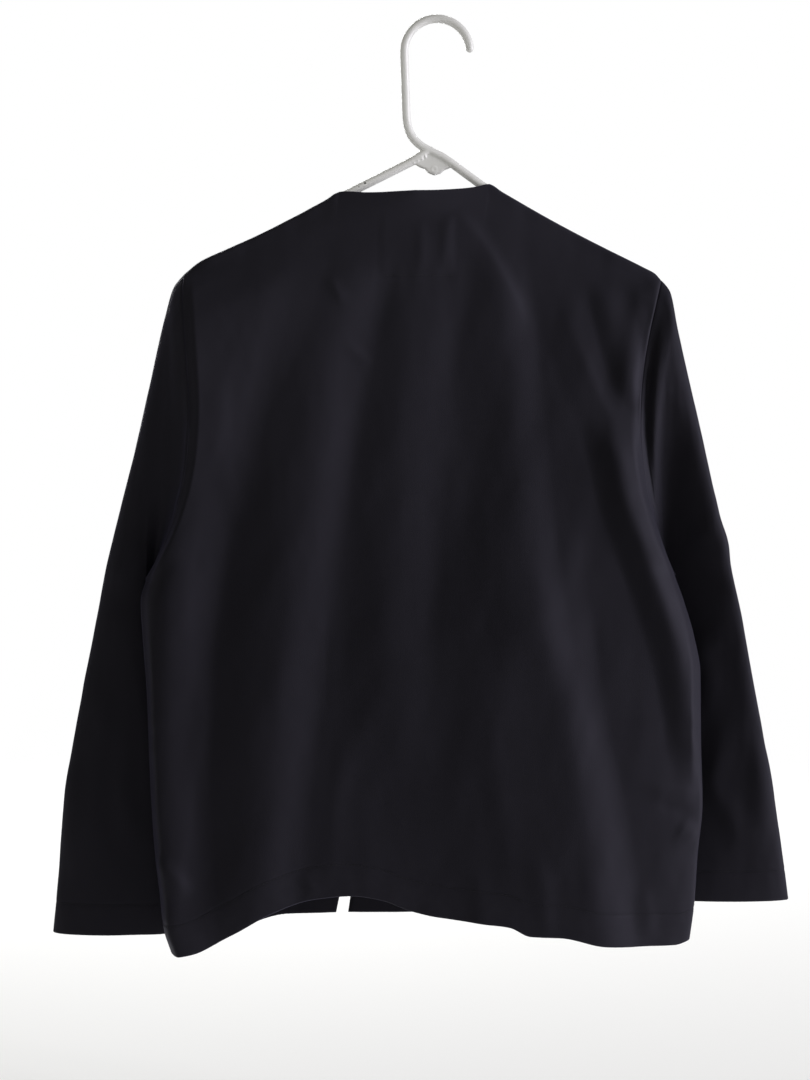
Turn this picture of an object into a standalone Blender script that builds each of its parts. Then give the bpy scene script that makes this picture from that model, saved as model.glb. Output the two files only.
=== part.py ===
"""Collarless jacket hanging on a tubular hanger.

Metres, +Z up. The jacket's back faces -Y, its fronts face +Y, and +X is the wearer's right.
The origin is the underside of the hook's crown, where a rod carries the hanger.
Heights are given as drops: distances below that origin, in millimetres, as all sizes here are.
"""

import math
from collections import namedtuple

import bmesh
import bpy
import numpy as np

MM = 0.001

# ---------------------------------------------------------------- cloth
WALL = 1.6                 # thickness of the cloth wall
SEAM = 0.3                 # gap between two pieces at a seam
NORMAL_STEP = 1e-4         # step, in surface parameters, for the wall's direction

# ---------------------------------------------------------------- hanger
TUBE_RADIUS = 3.4          # of the hanger's tube
HOOK_RADIUS = 28.9         # of the hook's centre line
HOOK_STEPS = 16            # straight runs in the hook's half circle
HOOK_CENTRE = TUBE_RADIUS - HOOK_RADIUS   # height of the hook's centre
ARM_END_LEFT = -194.0      # where each arm ends in the frame's round end
ARM_END_RIGHT = 171.0
END_RADIUS = 11.0          # of the centre line there
END_STEPS = 6              # straight runs in each round end
TUBE_RESOLUTION = 2        # of the tube's round section
STEM = ((-28.4, -40.0), (-27.6, -63.0), (-27.0, -82.0), (-25.6, -91.5), (-22.9, -98.6),
        (-18.4, -104.4), (-12.4, -109.2), (-4.5, -113.4), (4.0, -117.6), (12.0, -122.9),
        (22.0, -130.3), (32.0, -137.6))       # centre line from the hook to the right arm
JOINT = ((-48.0, -135.0), (-13.0, -117.4))    # and from the left arm to the stem
WEB_THICKNESS = 4.0
WEB_OUTLINE = ((-20.5, -126.4), (-13.5, -122.6), (-4.6, -118.4), (3.4, -122.4), (11.2, -127.4),
               (9.4, -129.0), (4.6, -128.2), (3.6, -131.6), (-2.2, -134.0), (-7.6, -131.6),
               (-8.8, -128.0))

# ---------------------------------------------------------------- shoulders and neck
Corner = namedtuple("Corner", "across drop")
SHOULDER_LEFT = (          # places of the seam from the neck to the tip, where it rounds off
    Corner(-87.0, 149.6), Corner(-120.6, 167.9), Corner(-152.3, 184.1), Corner(-185.7, 199.8),
    Corner(-208.0, 210.6), Corner(-222.0, 221.0))
SHOULDER_RIGHT = (
    Corner(46.6, 142.4), Corner(100.3, 173.3), Corner(150.4, 199.8), Corner(181.2, 215.6),
    Corner(191.8, 221.2), Corner(197.0, 226.5))
NECK_LEFT = SHOULDER_LEFT[0]
NECK_RIGHT = SHOULDER_RIGHT[0]
TIP_LEFT = SHOULDER_LEFT[-1]
TIP_RIGHT = SHOULDER_RIGHT[-1]
ROOF_HEIGHT = 5.05         # of the round that the cloth makes over the hanger's arm
ROOF_REACH = 4.5           # half its width
SLACK = 60.0               # drop over which the cloth leaves the arm and takes the body's depth
BACK_NECK_DIP = 7.8        # of the back neckline between its corners
FRONT_NECK_DEPTH = 90.0    # of the front neckline below the corners
CENTRE_FRONT = -17.0       # where the front edges meet at the neckline
HEM_OPENING = -85.0        # where they end at the hem
OPENING_BEND = 1.4         # power of the share down at which the opening drifts there
HEM_GAP = 11.0             # between the front edges at the hem
GAP_BEND = 3.0             # power of the share down at which that gap opens
FRONT_HEM_DROP = 791.0     # of the hem at the front edges
FRONT_HEM_LEVEL = 0.7      # share of the front's width from which the hem is level

# ---------------------------------------------------------------- armholes
# Each armhole is a loop through four places. Its lean pushes the loop across on both faces,
# one way above their middle and the other way below it.
Place = namedtuple("Place", "across depth drop")
Armhole = namedtuple("Armhole", "top back underarm front lean")
ARMHOLE_LEFT = Armhole(Place(-222.0, 0.0, 221.0), Place(-215.0, -23.0, 350.0),
                       Place(-255.5, -3.5, 490.0), Place(-213.0, 30.0, 350.0), -16.0)
ARMHOLE_RIGHT = Armhole(Place(197.0, 0.0, 226.5), Place(176.5, -23.0, 350.0),
                        Place(208.5, 1.0, 485.0), Place(177.0, 30.0, 350.0), 6.0)
LEAN_END = 0.12            # how far down the sleeve the lean goes on

# ---------------------------------------------------------------- side seams below the underarm
Seam = namedtuple("Seam", "drop across depth")
SIDE_LEFT = (
    Seam(490.0, -255.5, -3.5), Seam(508.0, -259.5, -9.0), Seam(542.0, -257.4, -11.5),
    Seam(590.0, -253.6, -13.0), Seam(655.0, -251.3, -12.0), Seam(730.0, -246.6, -12.0),
    Seam(760.0, -243.0, -12.0), Seam(795.0, -239.0, -12.0), Seam(815.0, -232.5, -12.0))
SIDE_RIGHT = (
    Seam(485.0, 208.5, 1.0), Seam(505.0, 215.0, -4.0), Seam(539.0, 224.4, -9.0),
    Seam(571.0, 229.6, -12.0), Seam(631.0, 229.8, -12.0), Seam(683.0, 230.8, -12.0),
    Seam(730.0, 226.4, -12.0), Seam(771.0, 223.6, -12.0), Seam(802.0, 219.5, -12.0))

# ---------------------------------------------------------------- hem of the back, side to side
Hem = namedtuple("Hem", "share drop")
BACK_HEM = (
    Hem(0.0, 815.0), Hem(0.05, 811.0), Hem(0.12, 795.0), Hem(0.2, 775.0), Hem(0.28, 763.5),
    Hem(0.35, 760.5), Hem(0.41, 764.5), Hem(0.46, 773.0), Hem(0.5, 777.5), Hem(0.55, 780.7),
    Hem(0.6, 783.6), Hem(0.65, 786.2), Hem(0.69, 794.0), Hem(0.75, 795.0), Hem(0.83, 802.5),
    Hem(0.9, 804.5), Hem(0.97, 805.0), Hem(1.0, 802.0))

# ---------------------------------------------------------------- how far the body stands out
Depth = namedtuple("Depth", "drop back front")
BODY_DEPTH = (
    Depth(140.0, 26.0, 28.0), Depth(240.0, 29.0, 33.0), Depth(360.0, 31.0, 37.0),
    Depth(485.0, 33.0, 41.0), Depth(640.0, 36.0, 45.0), Depth(815.0, 38.0, 47.0))
BACK_SIDE_ROUND = 120.0    # width over which the back turns to the side seam
FRONT_SIDE_ROUND = 60.0    # width of the front's own small round at the side seam
FRONT_SIDE_SHARE = 0.2     # share of the front's depth that this small round takes
FRONT_SIDE_WIDTH = 165.0   # width over which the front takes the rest, clear of the sleeve
ARMHOLE_EASE = 70.0        # width over which a panel eases to its armhole's depth
EASE_END = 0.6             # row from which that ease becomes the side's round

# ---------------------------------------------------------------- folds
# A fold is a soft ridge: its crest runs through the places of its path, and it falls away
# over its two widths, the one on the -X side first.
Fold = namedtuple("Fold", "height low_side high_side fade path")
Spot = namedtuple("Spot", "drop across")
BACK_FOLDS = (
    Fold(9.0, 26.0, 50.0, 40.0, (Spot(225.0, -150.0), Spot(352.0, -196.0), Spot(438.0, -220.0),
                                 Spot(541.0, -236.0), Spot(650.0, -240.0))),
    Fold(9.0, 48.0, 46.0, 60.0, (Spot(215.0, -75.0), Spot(248.0, -86.0), Spot(352.0, -109.0),
                                 Spot(464.0, -127.0), Spot(593.0, -143.0), Spot(800.0, -166.0))),
    Fold(6.0, 40.0, 46.0, 60.0, (Spot(220.0, -12.0), Spot(352.0, -33.0), Spot(464.0, -42.0),
                                 Spot(593.0, -46.0), Spot(680.0, -48.0))),
    Fold(9.0, 66.0, 54.0, 60.0, (Spot(225.0, 55.0), Spot(352.0, 69.0), Spot(464.0, 77.0),
                                 Spot(593.0, 98.0), Spot(722.0, 131.0), Spot(812.0, 143.0))),
    Fold(10.0, 44.0, 26.0, 40.0, (Spot(235.0, 100.0), Spot(352.0, 150.0), Spot(464.0, 176.0),
                                  Spot(541.0, 198.0), Spot(610.0, 212.0))),
    Fold(4.0, 18.0, 24.0, 30.0, (Spot(235.0, 138.0), Spot(290.0, 150.0), Spot(340.0, 166.0))))
FRONT_FOLDS = (
    Fold(8.0, 42.0, 48.0, 60.0, (Spot(240.0, -112.0), Spot(360.0, -128.0), Spot(480.0, -136.0),
                                 Spot(640.0, -144.0), Spot(810.0, -150.0))),
    Fold(5.0, 30.0, 34.0, 50.0, (Spot(430.0, -70.0), Spot(560.0, -88.0), Spot(700.0, -106.0))),
    Fold(7.0, 44.0, 40.0, 60.0, (Spot(250.0, 70.0), Spot(370.0, 78.0), Spot(500.0, 72.0),
                                 Spot(660.0, 60.0), Spot(810.0, 52.0))),
    Fold(8.0, 40.0, 46.0, 60.0, (Spot(420.0, 128.0), Spot(540.0, 130.0), Spot(680.0, 122.0),
                                 Spot(812.0, 118.0))),
    Fold(5.0, 30.0, 36.0, 50.0, (Spot(400.0, 18.0), Spot(560.0, 0.0), Spot(720.0, -22.0))))
FOLD_EDGE = 16.0           # width over which folds die out towards a side seam or armhole

# ---------------------------------------------------------------- sleeves
# Four rails run down each sleeve from its armhole; every ring passes through all four.
Ring = namedtuple("Ring", "along outer back inner front")
SLEEVE_LEFT = (
    Ring(0.03, Place(-232.0, 2.0, 232.0), Place(-222.0, -22.0, 357.0),
         Place(-268.0, 12.5, 491.5), Place(-222.0, 33.0, 357.0)),
    Ring(0.08, Place(-239.2, 5.0, 258.0), Place(-235.0, -17.0, 374.0),
         Place(-272.5, 25.0, 501.0), Place(-234.0, 39.0, 374.0)),
    Ring(0.25, Place(-264.9, 14.0, 367.0), Place(-256.0, -4.0, 446.0),
         Place(-262.0, 36.0, 548.0), Place(-256.0, 50.0, 446.0)),
    Ring(0.50, Place(-302.0, 26.0, 514.0), Place(-264.0, 6.0, 567.0),
         Place(-221.0, 36.0, 630.0), Place(-264.0, 56.0, 567.0)),
    Ring(0.75, Place(-329.5, 32.0, 660.0), Place(-275.0, 12.0, 686.0),
         Place(-219.0, 38.0, 716.0), Place(-275.0, 57.0, 686.0)),
    Ring(1.00, Place(-344.0, 33.0, 806.0), Place(-289.0, 16.0, 806.0),
         Place(-234.0, 34.0, 806.0), Place(-289.0, 52.0, 806.0)))
SLEEVE_RIGHT = (
    Ring(0.03, Place(204.4, 2.0, 238.0), Place(184.0, -22.0, 357.0),
         Place(216.5, 13.0, 488.0), Place(184.0, 33.0, 357.0)),
    Ring(0.08, Place(209.0, 5.0, 266.0), Place(198.0, -17.0, 374.0),
         Place(224.0, 25.0, 497.0), Place(197.0, 39.0, 374.0)),
    Ring(0.25, Place(229.6, 14.0, 365.0), Place(217.0, -4.0, 443.0),
         Place(216.0, 36.0, 543.0), Place(217.0, 50.0, 443.0)),
    Ring(0.50, Place(263.0, 26.0, 502.0), Place(222.0, 6.0, 556.0),
         Place(178.0, 36.0, 615.0), Place(222.0, 56.0, 556.0)),
    Ring(0.75, Place(290.5, 32.0, 640.0), Place(235.0, 12.0, 665.0),
         Place(178.0, 38.0, 692.0), Place(235.0, 57.0, 665.0)),
    Ring(1.00, Place(314.5, 33.0, 775.5), Place(257.0, 16.0, 777.0),
         Place(202.0, 34.0, 777.0), Place(257.0, 52.0, 777.0)))

# ---------------------------------------------------------------- how finely the cloth is made
ARMHOLE_TURNS = (0.0, 6.0, 11.5, 16.5, 27.0, 42.0, 58.0, 74.0, 90.0, 106.0, 122.0, 138.0,
                 152.0, 164.0, 173.0, 180.0)
SIDE_ROWS = (0.025, 0.06, 0.11, 0.18, 0.28, 0.4, 0.52, 0.64, 0.76, 0.88, 1.0)
BACK_COLUMNS = 32
NECK_CORNER_COLUMNS = (1.3, 3.2, 7.0)        # inside each neck corner, round the hanger's arm
FRONT_SHOULDER_COLUMNS = 9
FRONT_NECK_TURNS = (1.0, 3.0, 7.0, 15.0, 30.0, 46.0, 61.0, 76.0, 90.0)
SLEEVE_ROWS = (0.0, 0.015, 0.035, 0.065, 0.11, 0.17, 0.25, 0.34, 0.44, 0.54, 0.64, 0.74,
               0.84, 0.92, 1.0)

# ---------------------------------------------------------------- plain finishes
CLOTH_COLOUR = (0.015, 0.014, 0.02)
CLOTH_ROUGHNESS = 0.75
PLASTIC_COLOUR = (0.86, 0.86, 0.84)
PLASTIC_ROUGHNESS = 0.35


def mix(low, high, share):
    """The value that lies the given share of the way from low to high."""
    return low + (high - low) * share


def smooth(share):
    """An S-shaped step from 0 to 1, flat at both ends."""
    held = np.clip(share, 0.0, 1.0)
    return held * held * (3.0 - 2.0 * held)


def quarter_round(share):
    """A quarter ellipse from 0 to 1: upright where it starts and level where it ends."""
    return np.sqrt(np.clip(1.0 - (1.0 - np.clip(share, 0.0, 1.0)) ** 2, 0.0, 1.0))


def through(keys, values, at):
    """A smooth curve through the values at rising keys, which never overshoots them."""
    keys = np.asarray(keys, float)
    values = np.asarray(values, float)
    at = np.clip(np.asarray(at, float), keys[0], keys[-1])
    width = np.diff(keys)
    slope = np.diff(values) / width
    tangent = np.zeros_like(values)
    tangent[0] = slope[0]
    tangent[-1] = slope[-1]
    for i in range(1, len(keys) - 1):
        if slope[i - 1] * slope[i] > 0.0:
            before = 2.0 * width[i] + width[i - 1]
            after = width[i] + 2.0 * width[i - 1]
            tangent[i] = (before + after) / (before / slope[i - 1] + after / slope[i])
    index = np.clip(np.searchsorted(keys, at, side="right") - 1, 0, len(keys) - 2)
    span = width[index]
    share = (at - keys[index]) / span
    rest = 1.0 - share
    return (values[index] * (1.0 + 2.0 * share) * rest ** 2
            + tangent[index] * span * share * rest ** 2
            + values[index + 1] * share ** 2 * (3.0 - 2.0 * share)
            - tangent[index + 1] * span * share ** 2 * rest)


def column(table, name):
    """One named column of a table."""
    return [getattr(row, name) for row in table]


def ring_point(turn, outer, back, inner, front):
    """A point of the closed ring through four places, at a turn from the outer one."""
    outer, back, inner, front = (np.array(place, float) for place in (outer, back, inner, front))
    middle = (outer + inner) / 2.0
    cosine = math.cos(turn)
    sine = math.sin(turn)
    return (middle + (outer - inner) / 2.0 * cosine + (back - front) / 2.0 * sine
            + ((back + front) / 2.0 - middle) * sine ** 2)


def lean_at(armhole, turn):
    """How far an armhole's lean pushes it across at a turn."""
    return armhole.lean * math.sin(turn) ** 2 * math.cos(turn)


def armhole_point(armhole, turn):
    """A point of an armhole, turned from its top round the back (or, below 0, the front)."""
    point = ring_point(turn, armhole.top, armhole.back, armhole.underarm, armhole.front)
    point[0] += lean_at(armhole, turn)
    return point


def side_edge(armhole, seam, face, row):
    """Across, depth and drop of a body panel's side edge at a row.

    Rows from 0 to 1 go down the armhole, rows from 1 to 2 down the side seam.
    face is -1 on the back and 1 on the fronts.
    """
    if row <= 1.0:
        turn = row * math.pi
        point = armhole_point(armhole, -face * turn)
        point[1] += face * SEAM / 2.0
        return point
    drop = mix(seam[0].drop, seam[-1].drop, row - 1.0)
    across = through(column(seam, "drop"), column(seam, "across"), drop)
    depth = through(column(seam, "drop"), column(seam, "depth"), drop) + face * SEAM / 2.0
    return np.array((float(across), float(depth), drop))


def fold_height(folds, across, drop):
    """Height of all folds at a place on a panel."""
    total = 0.0
    for fold in folds:
        drops = column(fold.path, "drop")
        crest = float(through(drops, column(fold.path, "across"), drop))
        reach = across - crest
        width = fold.low_side if reach < 0.0 else fold.high_side
        share = min(abs(reach) / width, 1.0)
        live = float(smooth((drop - drops[0]) / fold.fade + 0.5)
                     * smooth((drops[-1] - drop) / fold.fade + 0.5))
        total += fold.height * live * (1.0 - share * share) ** 2
    return total


def shoulder_drop(shoulder, across):
    """Drop of a shoulder seam."""
    places = sorted(shoulder)
    return float(through(column(places, "across"), column(places, "drop"), across))


def back_top_drop(across):
    """Drop of the back's top edge: a shoulder, the neckline, the other shoulder."""
    if across <= NECK_LEFT.across:
        return shoulder_drop(SHOULDER_LEFT, across)
    if across >= NECK_RIGHT.across:
        return shoulder_drop(SHOULDER_RIGHT, across)
    share = (across - NECK_LEFT.across) / (NECK_RIGHT.across - NECK_LEFT.across)
    dip = BACK_NECK_DIP * math.sqrt(math.sin(math.pi * share))
    return mix(NECK_LEFT.drop, NECK_RIGHT.drop, share ** 2) + dip


def leave_the_arm(face, below, body):
    """Depth of a panel that lies round the hanger's arm and hangs away to the body's depth."""
    over = ROOF_REACH * float(quarter_round(below / ROOF_HEIGHT))
    hang = max(body - ROOF_REACH, 0.0) * (1.0 - math.exp(-below / SLACK))
    return face * (over + hang + SEAM / 2.0)


def edge_pull(distance, row, side_pull):
    """How much of an edge's own depth a panel takes, at a distance from that edge."""
    ease = (1.0 - min(distance / ARMHOLE_EASE, 1.0)) ** 2
    turned = float(smooth((row - EASE_END) / (1.0 - EASE_END)))
    return mix(ease, side_pull, turned)


def back_surface(share, row):
    """The middle of the back's wall: share 0 to 1 from left to right, row 0 to 2 downwards."""
    left = side_edge(ARMHOLE_LEFT, SIDE_LEFT, -1, row)
    right = side_edge(ARMHOLE_RIGHT, SIDE_RIGHT, -1, row)
    across = mix(left[0], right[0], share)
    top_across = mix(TIP_LEFT.across, TIP_RIGHT.across, share)
    top = back_top_drop(top_across)
    hem = float(through(column(BACK_HEM, "share"), column(BACK_HEM, "drop"), share))
    down_left = (left[2] - TIP_LEFT.drop) / (SIDE_LEFT[-1].drop - TIP_LEFT.drop)
    down_right = (right[2] - TIP_RIGHT.drop) / (SIDE_RIGHT[-1].drop - TIP_RIGHT.drop)
    drop = mix(top, hem, mix(down_left, down_right, share))
    inside_neck = min(top_across - NECK_LEFT.across, NECK_RIGHT.across - top_across)
    below = drop - top + max(inside_neck, 0.0)
    body = float(through(column(BODY_DEPTH, "drop"), column(BODY_DEPTH, "back"), drop))
    depth = leave_the_arm(-1, below, body)
    near_left = across - left[0]
    near_right = right[0] - across
    for edge, distance in ((left, near_left), (right, near_right)):
        pull = edge_pull(distance, row, 1.0 - float(quarter_round(distance / BACK_SIDE_ROUND)))
        edge_depth = leave_the_arm(-1, edge[2] - tip_of(edge), body)
        depth += (edge[1] - edge_depth) * pull
    live = float(smooth(min(near_left, near_right) / FOLD_EDGE)) * float(smooth(below / SLACK))
    depth -= fold_height(BACK_FOLDS, across, drop) * live
    return np.array((across, depth, -drop))


def tip_of(edge):
    """Drop of the shoulder tip on the same side as an edge point."""
    return TIP_LEFT.drop if edge[0] < 0.0 else TIP_RIGHT.drop


def front_neck_drop(corner, across):
    """Drop of a front's round neckline between its corner and the centre front."""
    share = min(max((across - CENTRE_FRONT) / (corner.across - CENTRE_FRONT), 0.0), 1.0)
    return corner.drop + (FRONT_NECK_DEPTH + NECK_LEFT.drop - corner.drop) * math.sqrt(
        1.0 - share * share)


def front_surface(side, share, row):
    """The middle of a front's wall: share 0 at the side, 1 at the front edge."""
    armhole = ARMHOLE_LEFT if side < 0 else ARMHOLE_RIGHT
    seam = SIDE_LEFT if side < 0 else SIDE_RIGHT
    shoulder = SHOULDER_LEFT if side < 0 else SHOULDER_RIGHT
    corner = shoulder[0]
    tip = shoulder[-1]
    edge = side_edge(armhole, seam, 1, row)
    down = (edge[2] - tip.drop) / (seam[-1].drop - tip.drop)
    open_edge = mix(CENTRE_FRONT, HEM_OPENING, down ** OPENING_BEND)
    open_edge += side * mix(SEAM / 2.0, HEM_GAP / 2.0, down ** GAP_BEND)
    across = mix(edge[0], open_edge, share)
    top_across = mix(tip.across, CENTRE_FRONT, share)
    in_neck = (corner.across - top_across) * side
    if in_neck > 0.0:
        top = front_neck_drop(corner, top_across)
        from_corner = math.hypot(in_neck, top - corner.drop)
    else:
        top = shoulder_drop(shoulder, top_across)
        from_corner = 0.0
    hem = mix(seam[-1].drop, FRONT_HEM_DROP, float(smooth(share / FRONT_HEM_LEVEL)))
    drop = mix(top, hem, down)
    body = float(through(column(BODY_DEPTH, "drop"), column(BODY_DEPTH, "front"), drop))
    below = drop - top + from_corner
    depth = leave_the_arm(1, below, body)
    distance = abs(across - edge[0])
    small = 1.0 - float(quarter_round(distance / FRONT_SIDE_ROUND))
    large = 1.0 - float(smooth(distance / FRONT_SIDE_WIDTH))
    pull = edge_pull(distance, row, mix(large, small, FRONT_SIDE_SHARE))
    edge_depth = leave_the_arm(1, edge[2] - tip.drop, body)
    depth += (edge[1] - edge_depth) * pull
    live = float(smooth(distance / FRONT_SIDE_ROUND)) * float(smooth(below / SLACK))
    depth += fold_height(FRONT_FOLDS, across, drop) * live
    return np.array((across, depth, -drop))


def sleeve_surface(side, turn_share, along):
    """The middle of a sleeve's wall: turn_share 0 to 1 round it, along 0 to 1 down it."""
    armhole, rings = (ARMHOLE_LEFT, SLEEVE_LEFT) if side < 0 else (ARMHOLE_RIGHT, SLEEVE_RIGHT)
    turn = turn_share * 2.0 * math.pi
    first = [Place(place.across + side * SEAM, place.depth, place.drop)
             for place in (armhole.top, armhole.back, armhole.underarm, armhole.front)]
    table = (Ring(0.0, *first),) + rings
    alongs = column(table, "along")
    rails = []
    for rail in ("outer", "back", "inner", "front"):
        places = np.array(column(table, rail), float)
        rails.append([float(through(alongs, places[:, axis], along)) for axis in range(3)])
    point = ring_point(turn, *rails)
    across = point[0] + lean_at(armhole, turn) * (1.0 - float(smooth(along / LEAN_END)))
    return np.array((across, point[1], -point[2]))


def unit(vector):
    """The same direction at length 1."""
    return vector / np.linalg.norm(vector)


def panel_direction(surface, share, row):
    """The direction square to a body panel, from its slopes both ways.

    At row 1, where the armhole's round foot meets the side seam, it is the side's own.
    """
    low_share, high_share = max(share - NORMAL_STEP, 0.0), min(share + NORMAL_STEP, 1.0)
    low_row = row if row in (0.0, 1.0) else row - NORMAL_STEP
    high_row = min(row + NORMAL_STEP, 2.0)
    sideways = surface(high_share, row) - surface(low_share, row)
    downwards = surface(share, high_row) - surface(share, low_row)
    return unit(np.cross(sideways, downwards))


def back_direction(share, row):
    """The back's own outward direction."""
    return -panel_direction(back_surface, share, row)


def front_direction(side, share, row):
    """A front's own outward direction."""
    return -side * panel_direction(lambda s, r: front_surface(side, s, r), share, row)


def sleeve_direction(side, turn_share, along):
    """A sleeve's own outward direction. Its rings close, so the turn may pass 0."""
    def surface(turn, down):
        return sleeve_surface(side, turn, down)
    low_along, high_along = max(along - NORMAL_STEP, 0.0), min(along + NORMAL_STEP, 1.0)
    round_it = surface(turn_share + NORMAL_STEP, along) - surface(turn_share - NORMAL_STEP, along)
    downwards = surface(turn_share, high_along) - surface(turn_share, low_along)
    return side * unit(np.cross(round_it, downwards))


def seam_direction(side, row, face):
    """One direction for the walls that meet at a side edge, so that their edges lie parallel.

    Beside the sleeve, at rows up to 1, it lies halfway between the panel and the sleeve.
    """
    back = back_direction(0.0 if side < 0 else 1.0, row)
    front = front_direction(side, 0.0, row)
    if row > 1.0:
        return unit(back + front)
    panel = unit(back + front) if row in (0.0, 1.0) else (back if face < 0 else front)
    return unit(panel + sleeve_direction(side, -face * row / 2.0, 0.0))


def cloth_wall(name, surface, outward, shares, rows, closed=False):
    """A wall of even thickness on both sides of a surface, as one closed mesh."""
    body = bmesh.new()
    outer, inner = [], []
    for row in rows:
        outer_line, inner_line = [], []
        for share in shares:
            point = surface(share, row)
            half = outward(share, row) * WALL / 2.0
            outer_line.append(body.verts.new((point + half) * MM))
            inner_line.append(body.verts.new((point - half) * MM))
        outer.append(outer_line)
        inner.append(inner_line)
    steps = len(shares) if closed else len(shares) - 1
    for r in range(len(rows) - 1):
        for c in range(steps):
            d = (c + 1) % len(shares)
            body.faces.new((outer[r][c], outer[r][d], outer[r + 1][d], outer[r + 1][c]))
            body.faces.new((inner[r][c], inner[r + 1][c], inner[r + 1][d], inner[r][d]))
    for c in range(steps):
        d = (c + 1) % len(shares)
        body.faces.new((outer[0][c], inner[0][c], inner[0][d], outer[0][d]))
        body.faces.new((outer[-1][c], outer[-1][d], inner[-1][d], inner[-1][c]))
    if not closed:
        for r in range(len(rows) - 1):
            body.faces.new((outer[r][0], outer[r + 1][0], inner[r + 1][0], inner[r][0]))
            body.faces.new((outer[r][-1], inner[r][-1], inner[r + 1][-1], outer[r + 1][-1]))
    bmesh.ops.recalc_face_normals(body, faces=body.faces)
    mesh = bpy.data.meshes.new(name)
    body.to_mesh(mesh)
    body.free()
    mesh.shade_smooth()
    return bpy.data.objects.new(name, mesh)


def body_rows():
    """Rows of a body panel: down the armhole by its turns, then down the side."""
    return [turn / 180.0 for turn in ARMHOLE_TURNS] + [1.0 + row for row in SIDE_ROWS]


def back_shares():
    """Columns of the back, closer together at the sides and round the neck corners."""
    shares = [(1.0 - math.cos(math.pi * i / BACK_COLUMNS)) / 2.0 for i in range(BACK_COLUMNS + 1)]
    width = TIP_RIGHT.across - TIP_LEFT.across
    for corner, inwards in ((NECK_LEFT, 1.0), (NECK_RIGHT, -1.0)):
        at = (corner.across - TIP_LEFT.across) / width
        nearest = min(range(len(shares)), key=lambda i: abs(shares[i] - at))
        shares[nearest] = at
        shares += [at + inwards * step / width for step in NECK_CORNER_COLUMNS]
        shares.sort()
    return shares


def front_shares(corner, tip):
    """Columns of a front: along the shoulder, then by turns round the neckline."""
    at_corner = (corner.across - tip.across) / (CENTRE_FRONT - tip.across)
    shoulder = [at_corner * (1.0 - math.cos(math.pi / 2.0 * i / FRONT_SHOULDER_COLUMNS))
                for i in range(FRONT_SHOULDER_COLUMNS + 1)]
    neck = [mix(1.0, at_corner, math.cos(math.radians(turn))) for turn in FRONT_NECK_TURNS]
    return shoulder + neck


def make_back():
    """The back, in one piece."""
    def outward(share, row):
        if share in (0.0, 1.0):
            return seam_direction(-1 if share == 0.0 else 1, row, -1)
        return back_direction(share, row)
    return cloth_wall("back", back_surface, outward, back_shares(), body_rows())


def make_front(name, side):
    """One of the two fronts."""
    corner, tip = (NECK_LEFT, TIP_LEFT) if side < 0 else (NECK_RIGHT, TIP_RIGHT)

    def surface(share, row):
        return front_surface(side, share, row)

    def outward(share, row):
        if share == 0.0:
            return seam_direction(side, row, 1)
        return front_direction(side, share, row)
    return cloth_wall(name, surface, outward, front_shares(corner, tip), body_rows())


def make_sleeve(name, side):
    """One sleeve, a tube from the armhole to the cuff."""
    turns = [turn / 360.0 for turn in ARMHOLE_TURNS]
    turns += [1.0 - turn for turn in turns[-2:0:-1]]

    def surface(turn, along):
        return sleeve_surface(side, turn, along)

    def outward(turn, along):
        if along > 0.0:
            return sleeve_direction(side, turn, along)
        face = -1 if turn <= 0.5 else 1
        return seam_direction(side, 2.0 * min(turn, 1.0 - turn), face)
    return cloth_wall(name, surface, outward, turns, SLEEVE_ROWS, closed=True)


def hanger_route():
    """Centre line of the hanger's tube: hook, stem, right arm, bar, and left arm to the joint."""
    hook = []
    for i in range(HOOK_STEPS + 1):
        turn = math.pi * i / HOOK_STEPS
        hook.append((HOOK_RADIUS * math.cos(turn), HOOK_CENTRE + HOOK_RADIUS * math.sin(turn)))
    right_arm = arm_line(SHOULDER_RIGHT, ARM_END_RIGHT)
    left_arm = arm_line(SHOULDER_LEFT, ARM_END_LEFT)
    right_end = round_end(right_arm[-1], right_arm[-2], 1)
    left_end = round_end(left_arm[-1], left_arm[-2], -1)
    return (hook + list(STEM) + right_arm + right_end + left_end[::-1] + left_arm[::-1]
            + list(JOINT))


def arm_line(shoulder, end):
    """An arm's centre line from the neck to its end, just under the shoulder seam."""
    places = [place.across for place in shoulder if abs(place.across) < abs(end) - END_RADIUS]
    return [(across, -shoulder_drop(shoulder, across) - ROOF_HEIGHT) for across in places + [end]]


def round_end(foot, head, side):
    """The frame's round end: it leaves the arm's foot in the arm's direction, and turns to the bar."""
    fall = math.atan2(head[1] - foot[1], abs(head[0] - foot[0]))
    centre = (foot[0] - side * END_RADIUS * math.sin(fall), foot[1] - END_RADIUS * math.cos(fall))
    points = []
    for i in range(1, END_STEPS + 1):
        turn = math.pi / 2.0 - fall - (math.pi - fall) * i / END_STEPS
        points.append((centre[0] + side * END_RADIUS * math.cos(turn),
                       centre[1] + END_RADIUS * math.sin(turn)))
    return points


def make_hanger():
    """The hanger's tube."""
    route = hanger_route()
    curve = bpy.data.curves.new("hanger", "CURVE")
    curve.dimensions = "3D"
    curve.bevel_depth = TUBE_RADIUS * MM
    curve.bevel_resolution = TUBE_RESOLUTION
    curve.use_fill_caps = True
    spline = curve.splines.new("POLY")
    spline.points.add(len(route) - 1)
    for point, (across, height) in zip(spline.points, route):
        point.co = (across * MM, 0.0, height * MM, 1.0)
    return bpy.data.objects.new("hanger", curve)


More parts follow.
